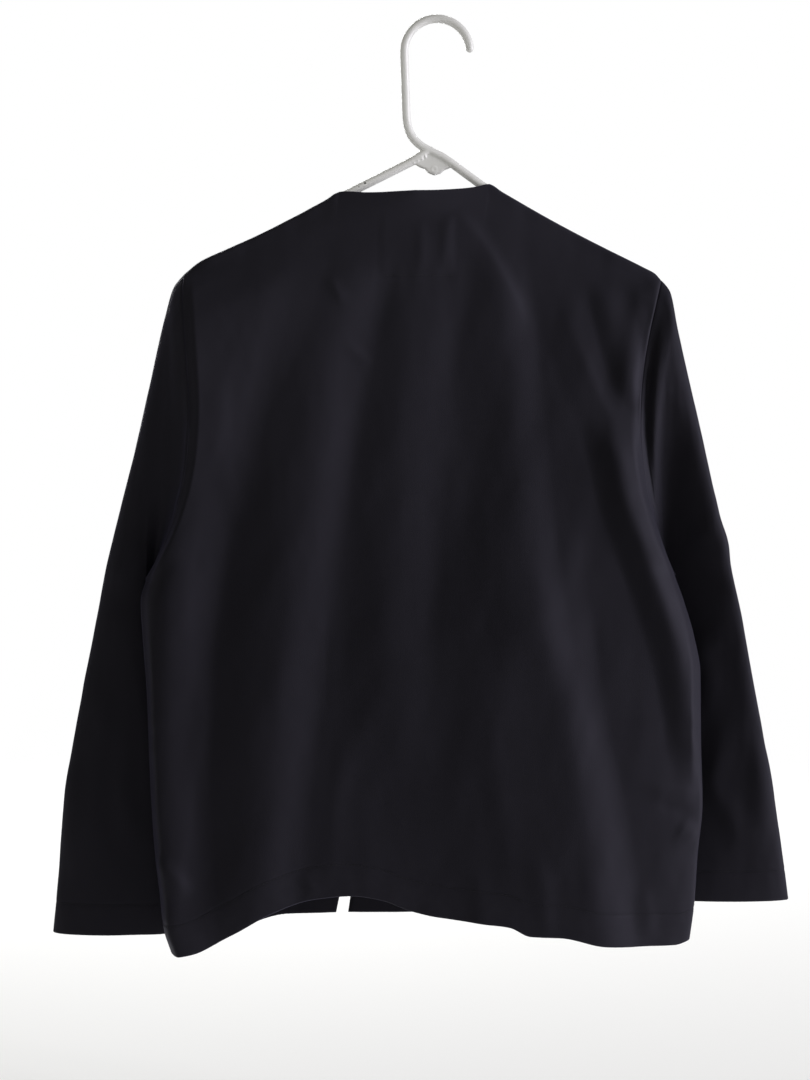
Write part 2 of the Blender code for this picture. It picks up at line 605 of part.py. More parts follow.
def make_hanger_web():
    """The small web under the joint of the arms, with its lug."""
    curve = bpy.data.curves.new("hanger_web", "CURVE")
    curve.dimensions = "2D"
    curve.fill_mode = "BOTH"
    curve.extrude = WEB_THICKNESS / 2.0 * MM
    spline = curve.splines.new("POLY")
    spline.points.add(len(WEB_OUTLINE) - 1)
    for point, (across, height) in zip(spline.points, WEB_OUTLINE):
        point.co = (across * MM, height * MM, 0.0, 1.0)
    spline.use_cyclic_u = True
    web = bpy.data.objects.new("hanger_web", curve)
    web.rotation_euler = (math.pi / 2.0, 0.0, 0.0)
    return web


def finish(name, colour, roughness):
    """A plain material."""
    material = bpy.data.materials.new(name)
    material.use_nodes = True
    shader = material.node_tree.nodes["Principled BSDF"]
    shader.inputs["Base Color"].default_value = (*colour, 1.0)
    shader.inputs["Roughness"].default_value = roughness
    shader.inputs["Metallic"].default_value = 0.0
    return material


def main():
    """Build every piece and put it in the jacket's collection."""
    for old in list(bpy.data.objects):
        bpy.data.objects.remove(old, do_unlink=True)
    cloth = finish("navy_cloth", CLOTH_COLOUR, CLOTH_ROUGHNESS)
    plastic = finish("white_plastic", PLASTIC_COLOUR, PLASTIC_ROUGHNESS)
    jacket = bpy.data.collections.new("collarless_jacket")
    bpy.context.scene.collection.children.link(jacket)
    pieces = [
        (make_back(), cloth),
        (make_front("front_left", -1), cloth),
        (make_front("front_right", 1), cloth),
        (make_sleeve("sleeve_left", -1), cloth),
        (make_sleeve("sleeve_right", 1), cloth),
        (make_hanger(), plastic),
        (make_hanger_web(), plastic),
    ]
    for piece, material in pieces:
        piece.data.materials.append(material)
        jacket.objects.link(piece)


main()
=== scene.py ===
"""Looks of a collarless jacket on a tubular hanger: its cloth, its sewing and the moulded hanger.

Sizes are in millimetres and heights are drops below the hook's crown, as in the part's source.
Across is the row's X and depth its Y: the back faces -Y and the fronts face +Y. What is handed
to Blender is in metres.
"""

from __future__ import annotations

import logging
import math
from dataclasses import dataclass
from enum import Enum
from typing import Any, NamedTuple, Sequence

import bmesh
import bpy
import numpy as np
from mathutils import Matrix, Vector


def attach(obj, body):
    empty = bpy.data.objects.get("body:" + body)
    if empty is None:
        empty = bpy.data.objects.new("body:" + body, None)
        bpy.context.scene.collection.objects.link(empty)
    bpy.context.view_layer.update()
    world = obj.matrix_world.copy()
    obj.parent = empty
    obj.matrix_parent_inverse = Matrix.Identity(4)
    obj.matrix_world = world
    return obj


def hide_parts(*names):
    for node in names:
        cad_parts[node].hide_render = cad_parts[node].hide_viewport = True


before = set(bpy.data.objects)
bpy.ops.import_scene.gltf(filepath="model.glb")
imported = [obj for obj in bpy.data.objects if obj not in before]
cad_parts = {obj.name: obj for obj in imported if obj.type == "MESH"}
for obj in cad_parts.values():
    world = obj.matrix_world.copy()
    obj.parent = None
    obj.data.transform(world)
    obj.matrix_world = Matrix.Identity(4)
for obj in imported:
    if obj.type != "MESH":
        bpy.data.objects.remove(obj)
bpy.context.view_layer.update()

MM = 0.001
Array = np.ndarray
Colour = tuple[float, float, float]
Point = tuple[float, float, float]
Pairs = tuple[tuple[float, float], ...]
log = logging.getLogger("jacket")


# ------------------------------------------------------------------ the jacket's driving sizes

class Corner(NamedTuple):
    """A place on a shoulder seam, in the hanger's own plane."""

    across: float
    drop: float


class Place(NamedTuple):
    """A place in space."""

    across: float
    depth: float
    drop: float


class Seam(NamedTuple):
    """A place on a side seam."""

    drop: float
    across: float
    depth: float


class Ring(NamedTuple):
    """A ring round a sleeve, at a share of the way down it, through four places."""

    along: float
    outer: Place
    back: Place
    inner: Place
    front: Place


class Armhole(NamedTuple):
    """An armhole: a loop through four places, whose sides lean across by the last number."""

    top: Place
    back: Place
    underarm: Place
    front: Place
    lean: float


class Face(Enum):
    """The two faces of the hanging jacket, by the sign of their depth."""

    BACK = -1
    FRONT = 1


@dataclass(frozen=True)
class Side:
    """The seams and the sleeve of one side of the jacket."""

    name: str
    sign: int
    shoulder: tuple[Corner, ...]
    armhole: Armhole
    side_seam: tuple[Seam, ...]
    sleeve: tuple[Ring, ...]

    @property
    def neck(self) -> Corner:
        """Where the shoulder seam meets the neckline."""
        return self.shoulder[0]

    @property
    def tip(self) -> Corner:
        """Where the shoulder seam meets the sleeve."""
        return self.shoulder[-1]


LEFT = Side(
    "left", -1,
    (Corner(-87.0, 149.6), Corner(-120.6, 167.9), Corner(-152.3, 184.1), Corner(-185.7, 199.8),
     Corner(-208.0, 210.6), Corner(-222.0, 221.0)),
    Armhole(Place(-222.0, 0.0, 221.0), Place(-215.0, -31.0, 350.0),
            Place(-255.5, -3.5, 490.0), Place(-213.0, 30.0, 350.0), -16.0),
    (Seam(490.0, -255.5, -3.5), Seam(508.0, -259.5, -9.0), Seam(542.0, -257.4, -11.5),
     Seam(590.0, -253.6, -13.0), Seam(655.0, -251.3, -12.0), Seam(730.0, -246.6, -12.0),
     Seam(760.0, -243.0, -12.0), Seam(795.0, -239.0, -12.0), Seam(815.0, -232.5, -12.0)),
    (Ring(0.03, Place(-232.0, 2.0, 232.0), Place(-222.0, -24.0, 357.0),
          Place(-257.0, 10.0, 492.0), Place(-222.0, 33.0, 357.0)),
     Ring(0.08, Place(-239.2, 5.0, 258.0), Place(-233.0, -13.0, 374.0),
          Place(-258.0, 25.0, 501.0), Place(-234.0, 39.0, 374.0)),
     Ring(0.25, Place(-264.9, 14.0, 367.0), Place(-255.0, -3.0, 446.0),
          Place(-257.0, 36.0, 548.0), Place(-256.0, 50.0, 446.0)),
     Ring(0.50, Place(-302.0, 26.0, 514.0), Place(-264.0, 6.0, 567.0),
          Place(-221.0, 36.0, 630.0), Place(-264.0, 56.0, 567.0)),
     Ring(0.75, Place(-329.5, 32.0, 660.0), Place(-275.0, 12.0, 686.0),
          Place(-219.0, 38.0, 716.0), Place(-275.0, 57.0, 686.0)),
     Ring(1.00, Place(-344.0, 33.0, 806.0), Place(-289.0, 16.0, 806.0),
          Place(-234.0, 34.0, 806.0), Place(-289.0, 52.0, 806.0))))
RIGHT = Side(
    "right", 1,
    (Corner(46.6, 142.4), Corner(100.3, 173.3), Corner(150.4, 199.8), Corner(181.2, 215.6),
     Corner(191.8, 221.2), Corner(197.0, 226.5)),
    Armhole(Place(197.0, 0.0, 226.5), Place(176.5, -20.0, 350.0),
            Place(208.5, -2.0, 485.0), Place(177.0, 30.0, 350.0), 6.0),
    (Seam(485.0, 208.5, -2.0), Seam(505.0, 215.0, -7.0), Seam(539.0, 224.4, -12.0),
     Seam(571.0, 229.6, -14.0), Seam(631.0, 229.8, -16.0), Seam(683.0, 230.8, -18.0),
     Seam(730.0, 226.4, -18.0), Seam(771.0, 223.6, -18.0), Seam(802.0, 219.5, -18.0)),
    (Ring(0.03, Place(204.4, -4.0, 238.0), Place(182.5, -15.0, 357.0),
          Place(208.0, 12.0, 488.0), Place(184.0, 33.0, 357.0)),
     Ring(0.08, Place(209.0, -10.0, 266.0), Place(191.0, -13.0, 374.0),
          Place(208.0, 25.0, 497.0), Place(197.0, 39.0, 374.0)),
     Ring(0.25, Place(229.6, -14.0, 365.0), Place(206.0, 3.0, 443.0),
          Place(210.0, 40.0, 543.0), Place(217.0, 44.0, 443.0)),
     Ring(0.50, Place(263.0, 0.0, 502.0), Place(222.0, 18.0, 556.0),
          Place(178.0, 44.0, 615.0), Place(222.0, 50.0, 556.0)),
     Ring(0.75, Place(290.5, 14.0, 640.0), Place(235.0, 22.0, 665.0),
          Place(178.0, 44.0, 692.0), Place(235.0, 53.0, 665.0)),
     Ring(1.00, Place(314.5, 26.0, 775.5), Place(257.0, 22.0, 777.0),
          Place(202.0, 36.0, 777.0), Place(257.0, 50.0, 777.0))))
BACK_HEM = (
    (0.0, 815.0), (0.05, 811.0), (0.12, 795.0), (0.2, 775.0), (0.28, 763.5), (0.35, 760.5),
    (0.41, 764.5), (0.46, 773.0), (0.5, 777.5), (0.55, 780.7), (0.6, 783.6), (0.65, 786.2),
    (0.69, 794.0), (0.75, 795.0), (0.83, 802.5), (0.9, 804.5), (0.97, 805.0), (1.0, 802.0))
BODY_DEPTH = (                 # drop, and how far the back and the fronts stand out there
    (140.0, 26.0, 28.0), (240.0, 29.0, 33.0), (360.0, 31.0, 37.0),
    (485.0, 33.0, 41.0), (640.0, 36.0, 45.0), (815.0, 38.0, 47.0))
ROOF_HEIGHT = 5.05             # of the round that the cloth makes over the hanger's arm
ROOF_REACH = 4.5               # half its width
SLACK = 60.0                   # drop over which the cloth leaves the arm
BACK_NECK = (                  # across and drop of the back neckline
    (-87.0, 149.6), (-83.6, 149.4), (-76.6, 149.9), (-69.6, 150.8), (-62.5, 151.5),
    (-50.0, 151.8), (-32.6, 151.4), (-6.2, 150.6), (14.9, 148.9), (29.0, 147.0),
    (37.8, 144.9), (42.5, 143.3), (46.6, 142.4))
CORNER_LIFT = 1.1              # rise of the cloth where it rounds the arm at a neck corner
CORNER_REACH = 4.0
NECK_SPREAD = 2.5              # how soon the neck corners are evened out down the cloth
FRONT_NECK_DEPTH = 90.0
CENTRE_FRONT = -17.0
HEM_OPENING = -85.0            # where the front edges end at the hem
OPENING_BEND = 1.4
HEM_GAP = 11.0
GAP_BEND = 3.0
FRONT_HEM_DROP = 791.0
FRONT_HEM_LEVEL = 0.7
BACK_SIDE_ROUND = 120.0
FRONT_SIDE_ROUND = 60.0
FRONT_SIDE_SHARE = 0.2
FRONT_SIDE_WIDTH = 165.0
ARMHOLE_EASE = 70.0
EASE_END = 0.6
FOLD_EDGE = 10.0               # width over which folds die out towards a side
LEAN_END = 0.12                # how far down the sleeve an armhole's lean goes on

HEM_TURN = 27.0                # height of the turned hems
SEAM_ALLOWANCE = 9.0
NECK_FACING = 13.0
FRONT_FACING = 42.0
CLOTH = 0.7                    # thickness of one layer
TURNED = 1.5                   # thickness where the cloth is turned in
HEM_ROWS = np.array([          # heights of a hem's rows of points, at its fold and its groove
    0.6, 1.6, 3.0, 22.0, 24.0, 25.4, 26.4, 27.2, 28.0, 29.0, 30.6])
SIDE_CALM = 7.0                # width beside a side seam over which creases die out
TOP_CALM = 9.0                 # the same below a shoulder seam or a neckline
EVEN_TOP = 60.0                # drop over which the cloth's own unevenness sets in
FAR_OFF = 1e3                  # distance of points that a seam has nothing to do with


# ------------------------------------------------------------------ curves and noise

def mix(low: Any, high: Any, share: Any) -> Any:
    """The value that lies the given share of the way from low to high."""
    return low + (high - low) * share


def smooth(share: Any) -> Array:
    """An S-shaped step from 0 to 1, flat at both ends."""
    held = np.clip(share, 0.0, 1.0)
    return held * held * (3.0 - 2.0 * held)


def quarter_round(share: Any) -> Array:
    """A quarter ellipse from 0 to 1: upright where it starts and level where it ends."""
    return np.sqrt(np.clip(1.0 - (1.0 - np.clip(share, 0.0, 1.0)) ** 2, 0.0, 1.0))


def through(keys: Sequence[float], values: Sequence[float], at: Any) -> Array:
    """A smooth curve that never overshoots its values.

    Args:
        keys: Rising places on the curve.
        values: The curve's value at each key.
        at: Where to read it.

    Returns:
        The curve's values there.
    """
    key = np.asarray(keys, float)
    value = np.asarray(values, float)
    place = np.clip(np.asarray(at, float), key[0], key[-1])
    width = np.diff(key)
    slope = np.diff(value) / width
    tangent = np.zeros_like(value)
    tangent[0], tangent[-1] = slope[0], slope[-1]
    for i in range(1, len(key) - 1):
        if slope[i - 1] * slope[i] > 0.0:
            before = 2.0 * width[i] + width[i - 1]
            after = width[i] + 2.0 * width[i - 1]
            tangent[i] = (before + after) / (before / slope[i - 1] + after / slope[i])
    index = np.clip(np.searchsorted(key, place, side="right") - 1, 0, len(key) - 2)
    span = width[index]
    share = (place - key[index]) / span
    rest = 1.0 - share
    return (value[index] * (1.0 + 2.0 * share) * rest ** 2
            + tangent[index] * span * share * rest ** 2
            + value[index + 1] * share ** 2 * (3.0 - 2.0 * share)
            - tangent[index + 1] * span * share ** 2 * rest)


def column(table: Sequence[Sequence[float]], index: int) -> list[float]:
    """One column of a table."""
    return [row[index] for row in table]


def smooth_line(points: Sequence[Sequence[float]], steps: int) -> Array:
    """A Catmull-Rom curve through points.

    Args:
        points: The points that it goes through.
        steps: How many steps it takes between each two of them.

    Returns:
        The curve's points.
    """
    p = np.asarray(points, float)
    p = np.vstack([2.0 * p[0] - p[1], p, 2.0 * p[-1] - p[-2]])
    t = (np.arange(steps) / steps)[:, None]
    runs = []
    for a, b, c, d in zip(p[:-3], p[1:-2], p[2:-1], p[3:]):
        runs.append(0.5 * (2.0 * b + (c - a) * t + (2.0 * a - 5.0 * b + 4.0 * c - d) * t ** 2
                           + (3.0 * b - a - 3.0 * c + d) * t ** 3))
    return np.vstack(runs + [p[-2:-1]])


def noise(u: Array, v: Array, seed: int) -> Array:
    """Smooth seeded noise over a plane, with one lump for each unit.

    Args:
        u: Places along the plane's first direction.
        v: Places along its second one.
        seed: The seed of the noise.

    Returns:
        The noise there, from -1 to 1.
    """
    table = np.random.default_rng(seed).uniform(-1.0, 1.0, (64, 64))
    low_u, low_v = np.floor(u).astype(int), np.floor(v).astype(int)
    part_u, part_v = smooth(u - low_u), smooth(v - low_v)
    a, b = table[low_u % 64, low_v % 64], table[(low_u + 1) % 64, low_v % 64]
    c, d = table[low_u % 64, (low_v + 1) % 64], table[(low_u + 1) % 64, (low_v + 1) % 64]
    return mix(mix(a, b, part_u), mix(c, d, part_u), part_v)


def unit(vectors: Array) -> Array:
    """The same directions at length 1."""
    return vectors / np.maximum(np.linalg.norm(vectors, axis=-1, keepdims=True), 1e-12)


def way_down(points: Array) -> Array:
    """How far each point of a grid lies from the first row, along its column."""
    run = np.linalg.norm(np.diff(points, axis=0), axis=-1)
    return np.vstack([np.zeros((1, run.shape[1])), np.cumsum(run, axis=0)])


def rings_along(line: Array, radius: Array, aside: Array, out: Array, sides: int) -> Array:
    """Rings of points round a line.

    Args:
        line: The line's points.
        radius: The rings' radius at each of them.
        aside: A direction square to the line at each of them.
        out: The direction square to both.
        sides: How many points a ring has.

    Returns:
        The rings' points, one ring for each point of the line.
    """
    turn = np.arange(sides) / sides * 2.0 * math.pi
    return (line[:, None] + radius[:, None, None]
            * (aside[:, None] * np.cos(turn)[None, :, None]
               + out[:, None] * np.sin(turn)[None, :, None]))


# ------------------------------------------------------------------ folds and creases

@dataclass(frozen=True)
class Fold:
    """A soft ridge that runs down a panel through places of (drop, across)."""

    height: float
    low_side: float
    high_side: float
    fade: float
    path: Pairs

    def at(self, across: Array, drop: Array) -> Array:
        """Its height on the panel.

        Args:
            across: Places across the panel.
            drop: The drops of those places.

        Returns:
            The height at each of them.
        """
        drops = column(self.path, 0)
        reach = across - through(drops, column(self.path, 1), drop)
        width = np.where(reach < 0.0, self.low_side, self.high_side)
        share = np.minimum(np.abs(reach) / width, 1.0)
        live = (smooth((drop - drops[0]) / self.fade + 0.5)
                * smooth((drops[-1] - drop) / self.fade + 0.5))
        return self.height * live * (1.0 - share * share) ** 2


@dataclass(frozen=True)
class Crease:
    """A fine ridge, or a trough if its height is below 0, through places of (across, drop).

    low_width is its width on the right of the way it runs, as the back is seen, and high_width
    on the left of it.
    """

    height: float
    low_width: float
    high_width: float
    path: Pairs
    face: Face = Face.BACK
    taper: float = 0.35

    def at(self, across: Array, drop: Array) -> Array:
        """Its height on the panel.

        Args:
            across: Places across the panel.
            drop: The drops of those places.

        Returns:
            The height at each of them.
        """
        result = np.zeros(across.shape)
        line = smooth_line(self.path, 5)
        far = 3.0 * max(self.low_width, self.high_width)
        near = ((across > line[:, 0].min() - far) & (across < line[:, 0].max() + far)
                & (drop > line[:, 1].min() - far) & (drop < line[:, 1].max() + far))
        if not near.any():
            return result
        place = np.stack([across[near], drop[near]], axis=-1)
        best = np.full(len(place), np.inf)
        side = np.zeros(len(place))
        along = np.zeros(len(place))
        steps = len(line) - 1
        for i, (a, b) in enumerate(zip(line[:-1], line[1:])):
            run, reach = b - a, place - a
            share = np.clip(reach @ run / (run @ run), 0.0, 1.0)
            gap = np.linalg.norm(reach - share[:, None] * run, axis=1)
            closer = gap < best
            best[closer] = gap[closer]
            side[closer] = (run[0] * reach[:, 1] - run[1] * reach[:, 0])[closer]
            along[closer] = (i + share[closer]) / steps
        width = np.where(side < 0.0, self.low_width, self.high_width)
        ends = smooth(along / self.taper) * smooth((1.0 - along) / self.taper)
        result[near] = self.height * ends * np.exp(-(best / width) ** 2)
        return result


BACK_FOLDS = (
    Fold(8.0, 170.0, 60.0, 80.0, ((215.0, -146.0), (290.0, -176.0), (352.0, -206.0),
                                  (438.0, -226.0), (455.0, -230.0))),
    Fold(16.0, 26.0, 54.0, 80.0, ((450.0, -230.0), (541.0, -243.0), (650.0, -248.0),
                                  (740.0, -244.0), (870.0, -233.0))),
    Fold(8.0, 58.0, 46.0, 60.0, ((215.0, -75.0), (248.0, -86.0), (352.0, -109.0),
                                 (464.0, -127.0), (593.0, -143.0), (800.0, -166.0))),
    Fold(4.2, 40.0, 46.0, 90.0, ((220.0, -12.0), (352.0, -33.0), (464.0, -42.0),
                                 (580.0, -46.0), (630.0, -47.0))),
    Fold(3.9, 50.0, 33.0, 70.0, ((225.0, 50.0), (352.0, 63.0), (464.0, 73.0), (560.0, 88.0))),
    Fold(9.8, 175.0, 50.0, 190.0, ((480.0, 80.0), (525.0, 86.0), (578.0, 94.0), (631.0, 103.0),
                                   (684.0, 114.0), (740.0, 124.0), (812.0, 136.0), (930.0, 148.0))),
    Fold(1.3, 30.0, 24.0, 40.0, ((232.0, 104.0), (248.0, 108.0), (283.0, 118.0),
                                 (317.0, 132.0), (352.0, 147.0))),
    Fold(8.4, 30.0, 42.0, 60.0, ((362.0, 152.0), (386.0, 159.0), (420.0, 166.0),
                                 (472.0, 184.0), (524.0, 202.0), (578.0, 218.0),
                                 (650.0, 229.0))),
    Fold(2.6, 18.0, 24.0, 30.0, ((235.0, 146.0), (290.0, 158.0), (330.0, 170.0))))
FRONT_FOLDS = (
    Fold(8.0, 42.0, 48.0, 60.0, ((240.0, -112.0), (360.0, -128.0), (480.0, -136.0),
                                 (640.0, -144.0), (810.0, -150.0))),
    Fold(5.0, 30.0, 34.0, 50.0, ((430.0, -70.0), (560.0, -88.0), (700.0, -106.0))),
    Fold(7.0, 44.0, 40.0, 60.0, ((250.0, 70.0), (370.0, 78.0), (500.0, 72.0),
                                 (660.0, 60.0), (810.0, 52.0))),
    Fold(8.0, 40.0, 46.0, 60.0, ((420.0, 128.0), (540.0, 130.0), (680.0, 122.0),
                                 (812.0, 118.0))),
    Fold(5.0, 30.0, 36.0, 50.0, ((400.0, 18.0), (560.0, 0.0), (720.0, -22.0))))
BACK_CREASES = (
    Crease(2.4, 7.0, 19.0, ((14.0, 166.0), (20.0, 176.0), (36.6, 196.0), (53.8, 226.0),
                            (66.8, 252.0), (76.0, 280.0))),
    Crease(0.9, 5.0, 4.0, ((9.0, 168.0), (6.5, 196.0), (4.5, 226.0))),
    Crease(0.8, 5.0, 4.0, ((-15.0, 172.0), (-14.0, 200.0), (-15.0, 226.0))),
    Crease(1.0, 5.0, 4.0, ((-99.0, 223.0), (-88.0, 238.0), (-79.0, 254.0))),
    Crease(0.9, 4.0, 5.0, ((-80.0, 284.0), (-68.0, 295.0), (-56.0, 304.0))),
    Crease(1.1, 7.0, 9.0, ((172.0, 664.0), (194.0, 671.0), (214.0, 674.0), (228.0, 679.0))),
    Crease(-0.8, 6.0, 6.0, ((184.0, 683.0), (206.0, 688.0), (224.0, 694.0))),
    Crease(1.4, 8.0, 10.0, ((206.0, 702.0), (216.0, 708.0), (224.0, 716.0))),
    Crease(2.2, 7.0, 9.0, ((-246.0, 722.0), (-228.0, 744.0), (-211.0, 764.0))),
    Crease(0.6, 9.0, 7.0, ((-58.0, 700.0), (-60.0, 740.0), (-58.0, 790.0))),
    Crease(1.4, 8.0, 10.0, ((84.0, 720.0), (90.0, 760.0), (92.0, 812.0))),
    Crease(1.2, 9.0, 8.0, ((34.0, 730.0), (37.0, 770.0), (38.0, 802.0))),
    Crease(1.3, 8.0, 8.0, ((176.0, 748.0), (180.0, 776.0), (181.0, 816.0))),
    Crease(1.1, 8.0, 6.0, ((-118.0, 738.0), (-110.0, 752.0), (-106.0, 764.0))),
    Crease(0.7, 9.0, 12.0, ((-196.0, 300.0), (-188.0, 352.0), (-190.0, 398.0))),
    Crease(-0.5, 10.0, 10.0, ((-206.0, 380.0), (-190.0, 420.0), (-182.0, 458.0))),
    Crease(0.45, 6.0, 6.0, ((109.0, 244.0), (119.0, 280.0), (133.0, 314.0), (147.0, 346.0),
                           (160.0, 372.0))),
    Crease(0.8, 14.0, 10.0, ((112.0, 560.0), (118.0, 620.0), (122.0, 680.0))),
    Crease(0.5, 10.0, 10.0, ((38.0, 560.0), (46.0, 640.0), (60.0, 720.0), (66.0, 776.0))),
    Crease(1.0, 8.0, 10.0, ((-196.0, 560.0), (-204.0, 620.0), (-204.0, 690.0))),
    Crease(1.0, 10.0, 8.0, ((-78.0, 600.0), (-84.0, 660.0), (-94.0, 730.0))),
    Crease(1.6, 10.0, 7.0, ((147.0, 346.0), (154.0, 386.0), (162.0, 420.0), (181.0, 472.0),
                            (199.0, 524.0), (213.0, 566.0)), taper=0.2),
    Crease(2.4, 12.0, 9.0, ((182.0, 226.0), (175.0, 250.0), (169.0, 284.0), (164.0, 318.0),
                            (161.0, 348.0))))
FRONT_CREASES = (
    Crease(1.8, 10.0, 7.0, ((-96.0, 200.0), (-84.0, 240.0), (-66.0, 286.0)), Face.FRONT),
    Crease(1.4, 8.0, 8.0, ((-190.0, 470.0), (-164.0, 450.0), (-140.0, 440.0)), Face.FRONT),
    Crease(1.6, 8.0, 10.0, ((60.0, 196.0), (46.0, 240.0), (26.0, 284.0)), Face.FRONT),
    Crease(1.2, 8.0, 8.0, ((150.0, 462.0), (126.0, 448.0), (100.0, 442.0)), Face.FRONT),
    Crease(1.2, 10.0, 8.0, ((-60.0, 520.0), (-70.0, 600.0), (-84.0, 680.0)), Face.FRONT),
    Crease(1.3, 8.0, 10.0, ((96.0, 560.0), (92.0, 640.0), (84.0, 720.0)), Face.FRONT),
    Crease(1.3, 9.0, 9.0, ((-170.0, 700.0), (-150.0, 740.0), (-140.0, 780.0)), Face.FRONT),
    Crease(1.0, 8.0, 8.0, ((20.0, 620.0), (10.0, 690.0), (6.0, 760.0)), Face.FRONT))
RIGHT_SLEEVE_CREASES = (
    Crease(3.4, 5.0, 8.0, ((199.0, 250.0), (194.0, 290.0), (190.0, 330.0), (188.5, 380.0),
                           (190.0, 420.0), (195.0, 456.0))),
    Crease(-2.4, 6.0, 5.0, ((186.0, 276.0), (182.0, 320.0), (181.0, 360.0), (184.0, 410.0))),
    Crease(3.0, 12.0, 10.0, ((247.0, 528.0), (235.0, 556.0), (241.0, 581.0), (238.0, 626.0))),
    Crease(2.6, 12.0, 10.0, ((262.0, 594.0), (252.0, 643.0), (248.0, 676.0), (268.0, 712.0),
                             (266.0, 742.0))),
    Crease(-2.0, 9.0, 9.0, ((222.0, 560.0), (218.0, 620.0), (226.0, 680.0))),
    Crease(2.4, 10.0, 12.0, ((222.0, 440.0), (246.0, 452.0), (270.0, 476.0))),
    Crease(-1.8, 9.0, 9.0, ((214.0, 466.0), (238.0, 486.0), (262.0, 510.0))),
    Crease(2.2, 10.0, 10.0, ((284.0, 620.0), (288.0, 680.0), (286.0, 740.0))),
    Crease(2.2, 10.0, 12.0, ((210.0, 420.0), (232.0, 470.0), (240.0, 520.0)), Face.FRONT),
    Crease(2.6, 12.0, 12.0, ((280.0, 540.0), (250.0, 560.0), (222.0, 566.0)), Face.FRONT),
    Crease(2.4, 12.0, 12.0, ((240.0, 640.0), (258.0, 690.0), (262.0, 750.0)), Face.FRONT))
LEFT_SLEEVE_CREASES = (
    Crease(2.2, 12.0, 7.0, ((-232.0, 270.0), (-234.0, 330.0), (-238.0, 390.0), (-244.0, 440.0))),
    Crease(2.6, 12.0, 12.0, ((-304.0, 560.0), (-296.0, 620.0), (-304.0, 690.0), (-302.0, 750.0))),
    Crease(2.2, 10.0, 10.0, ((-272.0, 600.0), (-280.0, 660.0), (-274.0, 740.0))),
    Crease(2.4, 12.0, 10.0, ((-250.0, 450.0), (-272.0, 470.0), (-292.0, 500.0))),
    Crease(-1.8, 9.0, 9.0, ((-246.0, 480.0), (-268.0, 500.0), (-288.0, 530.0))),
    Crease(2.0, 10.0, 10.0, ((-324.0, 640.0), (-326.0, 700.0), (-330.0, 760.0))),
    Crease(2.2, 12.0, 10.0, ((-244.0, 420.0), (-262.0, 470.0), (-268.0, 530.0)), Face.FRONT),
    Crease(2.6, 12.0, 12.0, ((-312.0, 560.0), (-284.0, 574.0), (-256.0, 576.0)), Face.FRONT),
    Crease(2.4, 12.0, 12.0, ((-270.0, 640.0), (-284.0, 700.0), (-286.0, 770.0)), Face.FRONT))


# ------------------------------------------------------------------ the jacket's surfaces

def ring_point(turn: Array, outer: Array, back: Array, inner: Array, front: Array) -> Array:
    """Points of the closed ring through four places.

    Args:
        turn: Turns from the outer place.
        outer: The place at no turn.
        back: The place a quarter of the way round.
        inner: The place halfway round.
        front: The last place.

    Returns:
        The ring's points at those turns.
    """
    middle = (outer + inner) / 2.0
    cosine, sine = np.cos(turn)[..., None], np.sin(turn)[..., None]
    return (middle + (outer - inner) / 2.0 * cosine + (back - front) / 2.0 * sine
            + ((back + front) / 2.0 - middle) * sine ** 2)


def lean_at(armhole: Armhole, turn: Array) -> Array:
    """How far an armhole's lean pushes it across at turns."""
    return armhole.lean * np.sin(turn) ** 2 * np.cos(turn)


def armhole_points(armhole: Armhole, turn: Array) -> Array:
    """Points of an armhole.

    Args:
        armhole: The armhole.
        turn: Turns from its top, round the back or, below 0, round the front.

    Returns:
        The points at those turns.
    """
    points = ring_point(turn, *(np.array(place) for place in armhole[:4]))
    points[..., 0] += lean_at(armhole, turn)
    return points


def side_edge(side: Side, face: Face, row: Array) -> Array:
    """Points of a body panel's side edge.

    Args:
        side: The side of the jacket.
        face: The panel's face.
        row: Rows, from 0 to 1 down the armhole and from 1 to 2 down the side seam.

    Returns:
        The edge's points in those rows.
    """
    hole = armhole_points(side.armhole, -face.value * np.clip(row, 0.0, 1.0) * math.pi)
    seam = side.side_seam
    drop = mix(seam[0].drop, seam[-1].drop, np.maximum(row - 1.0, 0.0))
    drops = column(seam, 0)
    below = np.stack([through(drops, column(seam, 1), drop),
                      through(drops, column(seam, 2), drop), drop], axis=-1)
    return np.where((row <= 1.0)[..., None], hole, below)


def shoulder_drop(side: Side, across: Array) -> Array:
    """Drop of a shoulder seam."""
    places = sorted(side.shoulder)
    return through(column(places, 0), column(places, 1), across)


def corner_lift(side: Side, across: Array) -> Array:
    """How far the cloth rises where it rounds the hanger's arm at a neck corner."""
    away = (across - side.neck.across) * side.sign - 0.8 * CORNER_REACH
    return CORNER_LIFT * np.exp(-(away / CORNER_REACH) ** 2)


def leave_the_arm(face: Face, below: Array, body: Array) -> Array:
    """Depth of a panel that lies round the hanger's arm and hangs away to the body's depth.

    Args:
        face: The panel's face.
        below: How far its points lie below the top of the round over the arm.
        body: How far the body stands out at them.

    Returns:
        The depth of the points.
    """
    over = ROOF_REACH * quarter_round(below / ROOF_HEIGHT)
    hang = np.maximum(body - ROOF_REACH, 0.0) * (1.0 - np.exp(-np.maximum(below, 0.0) / SLACK))
    return face.value * (over + hang)


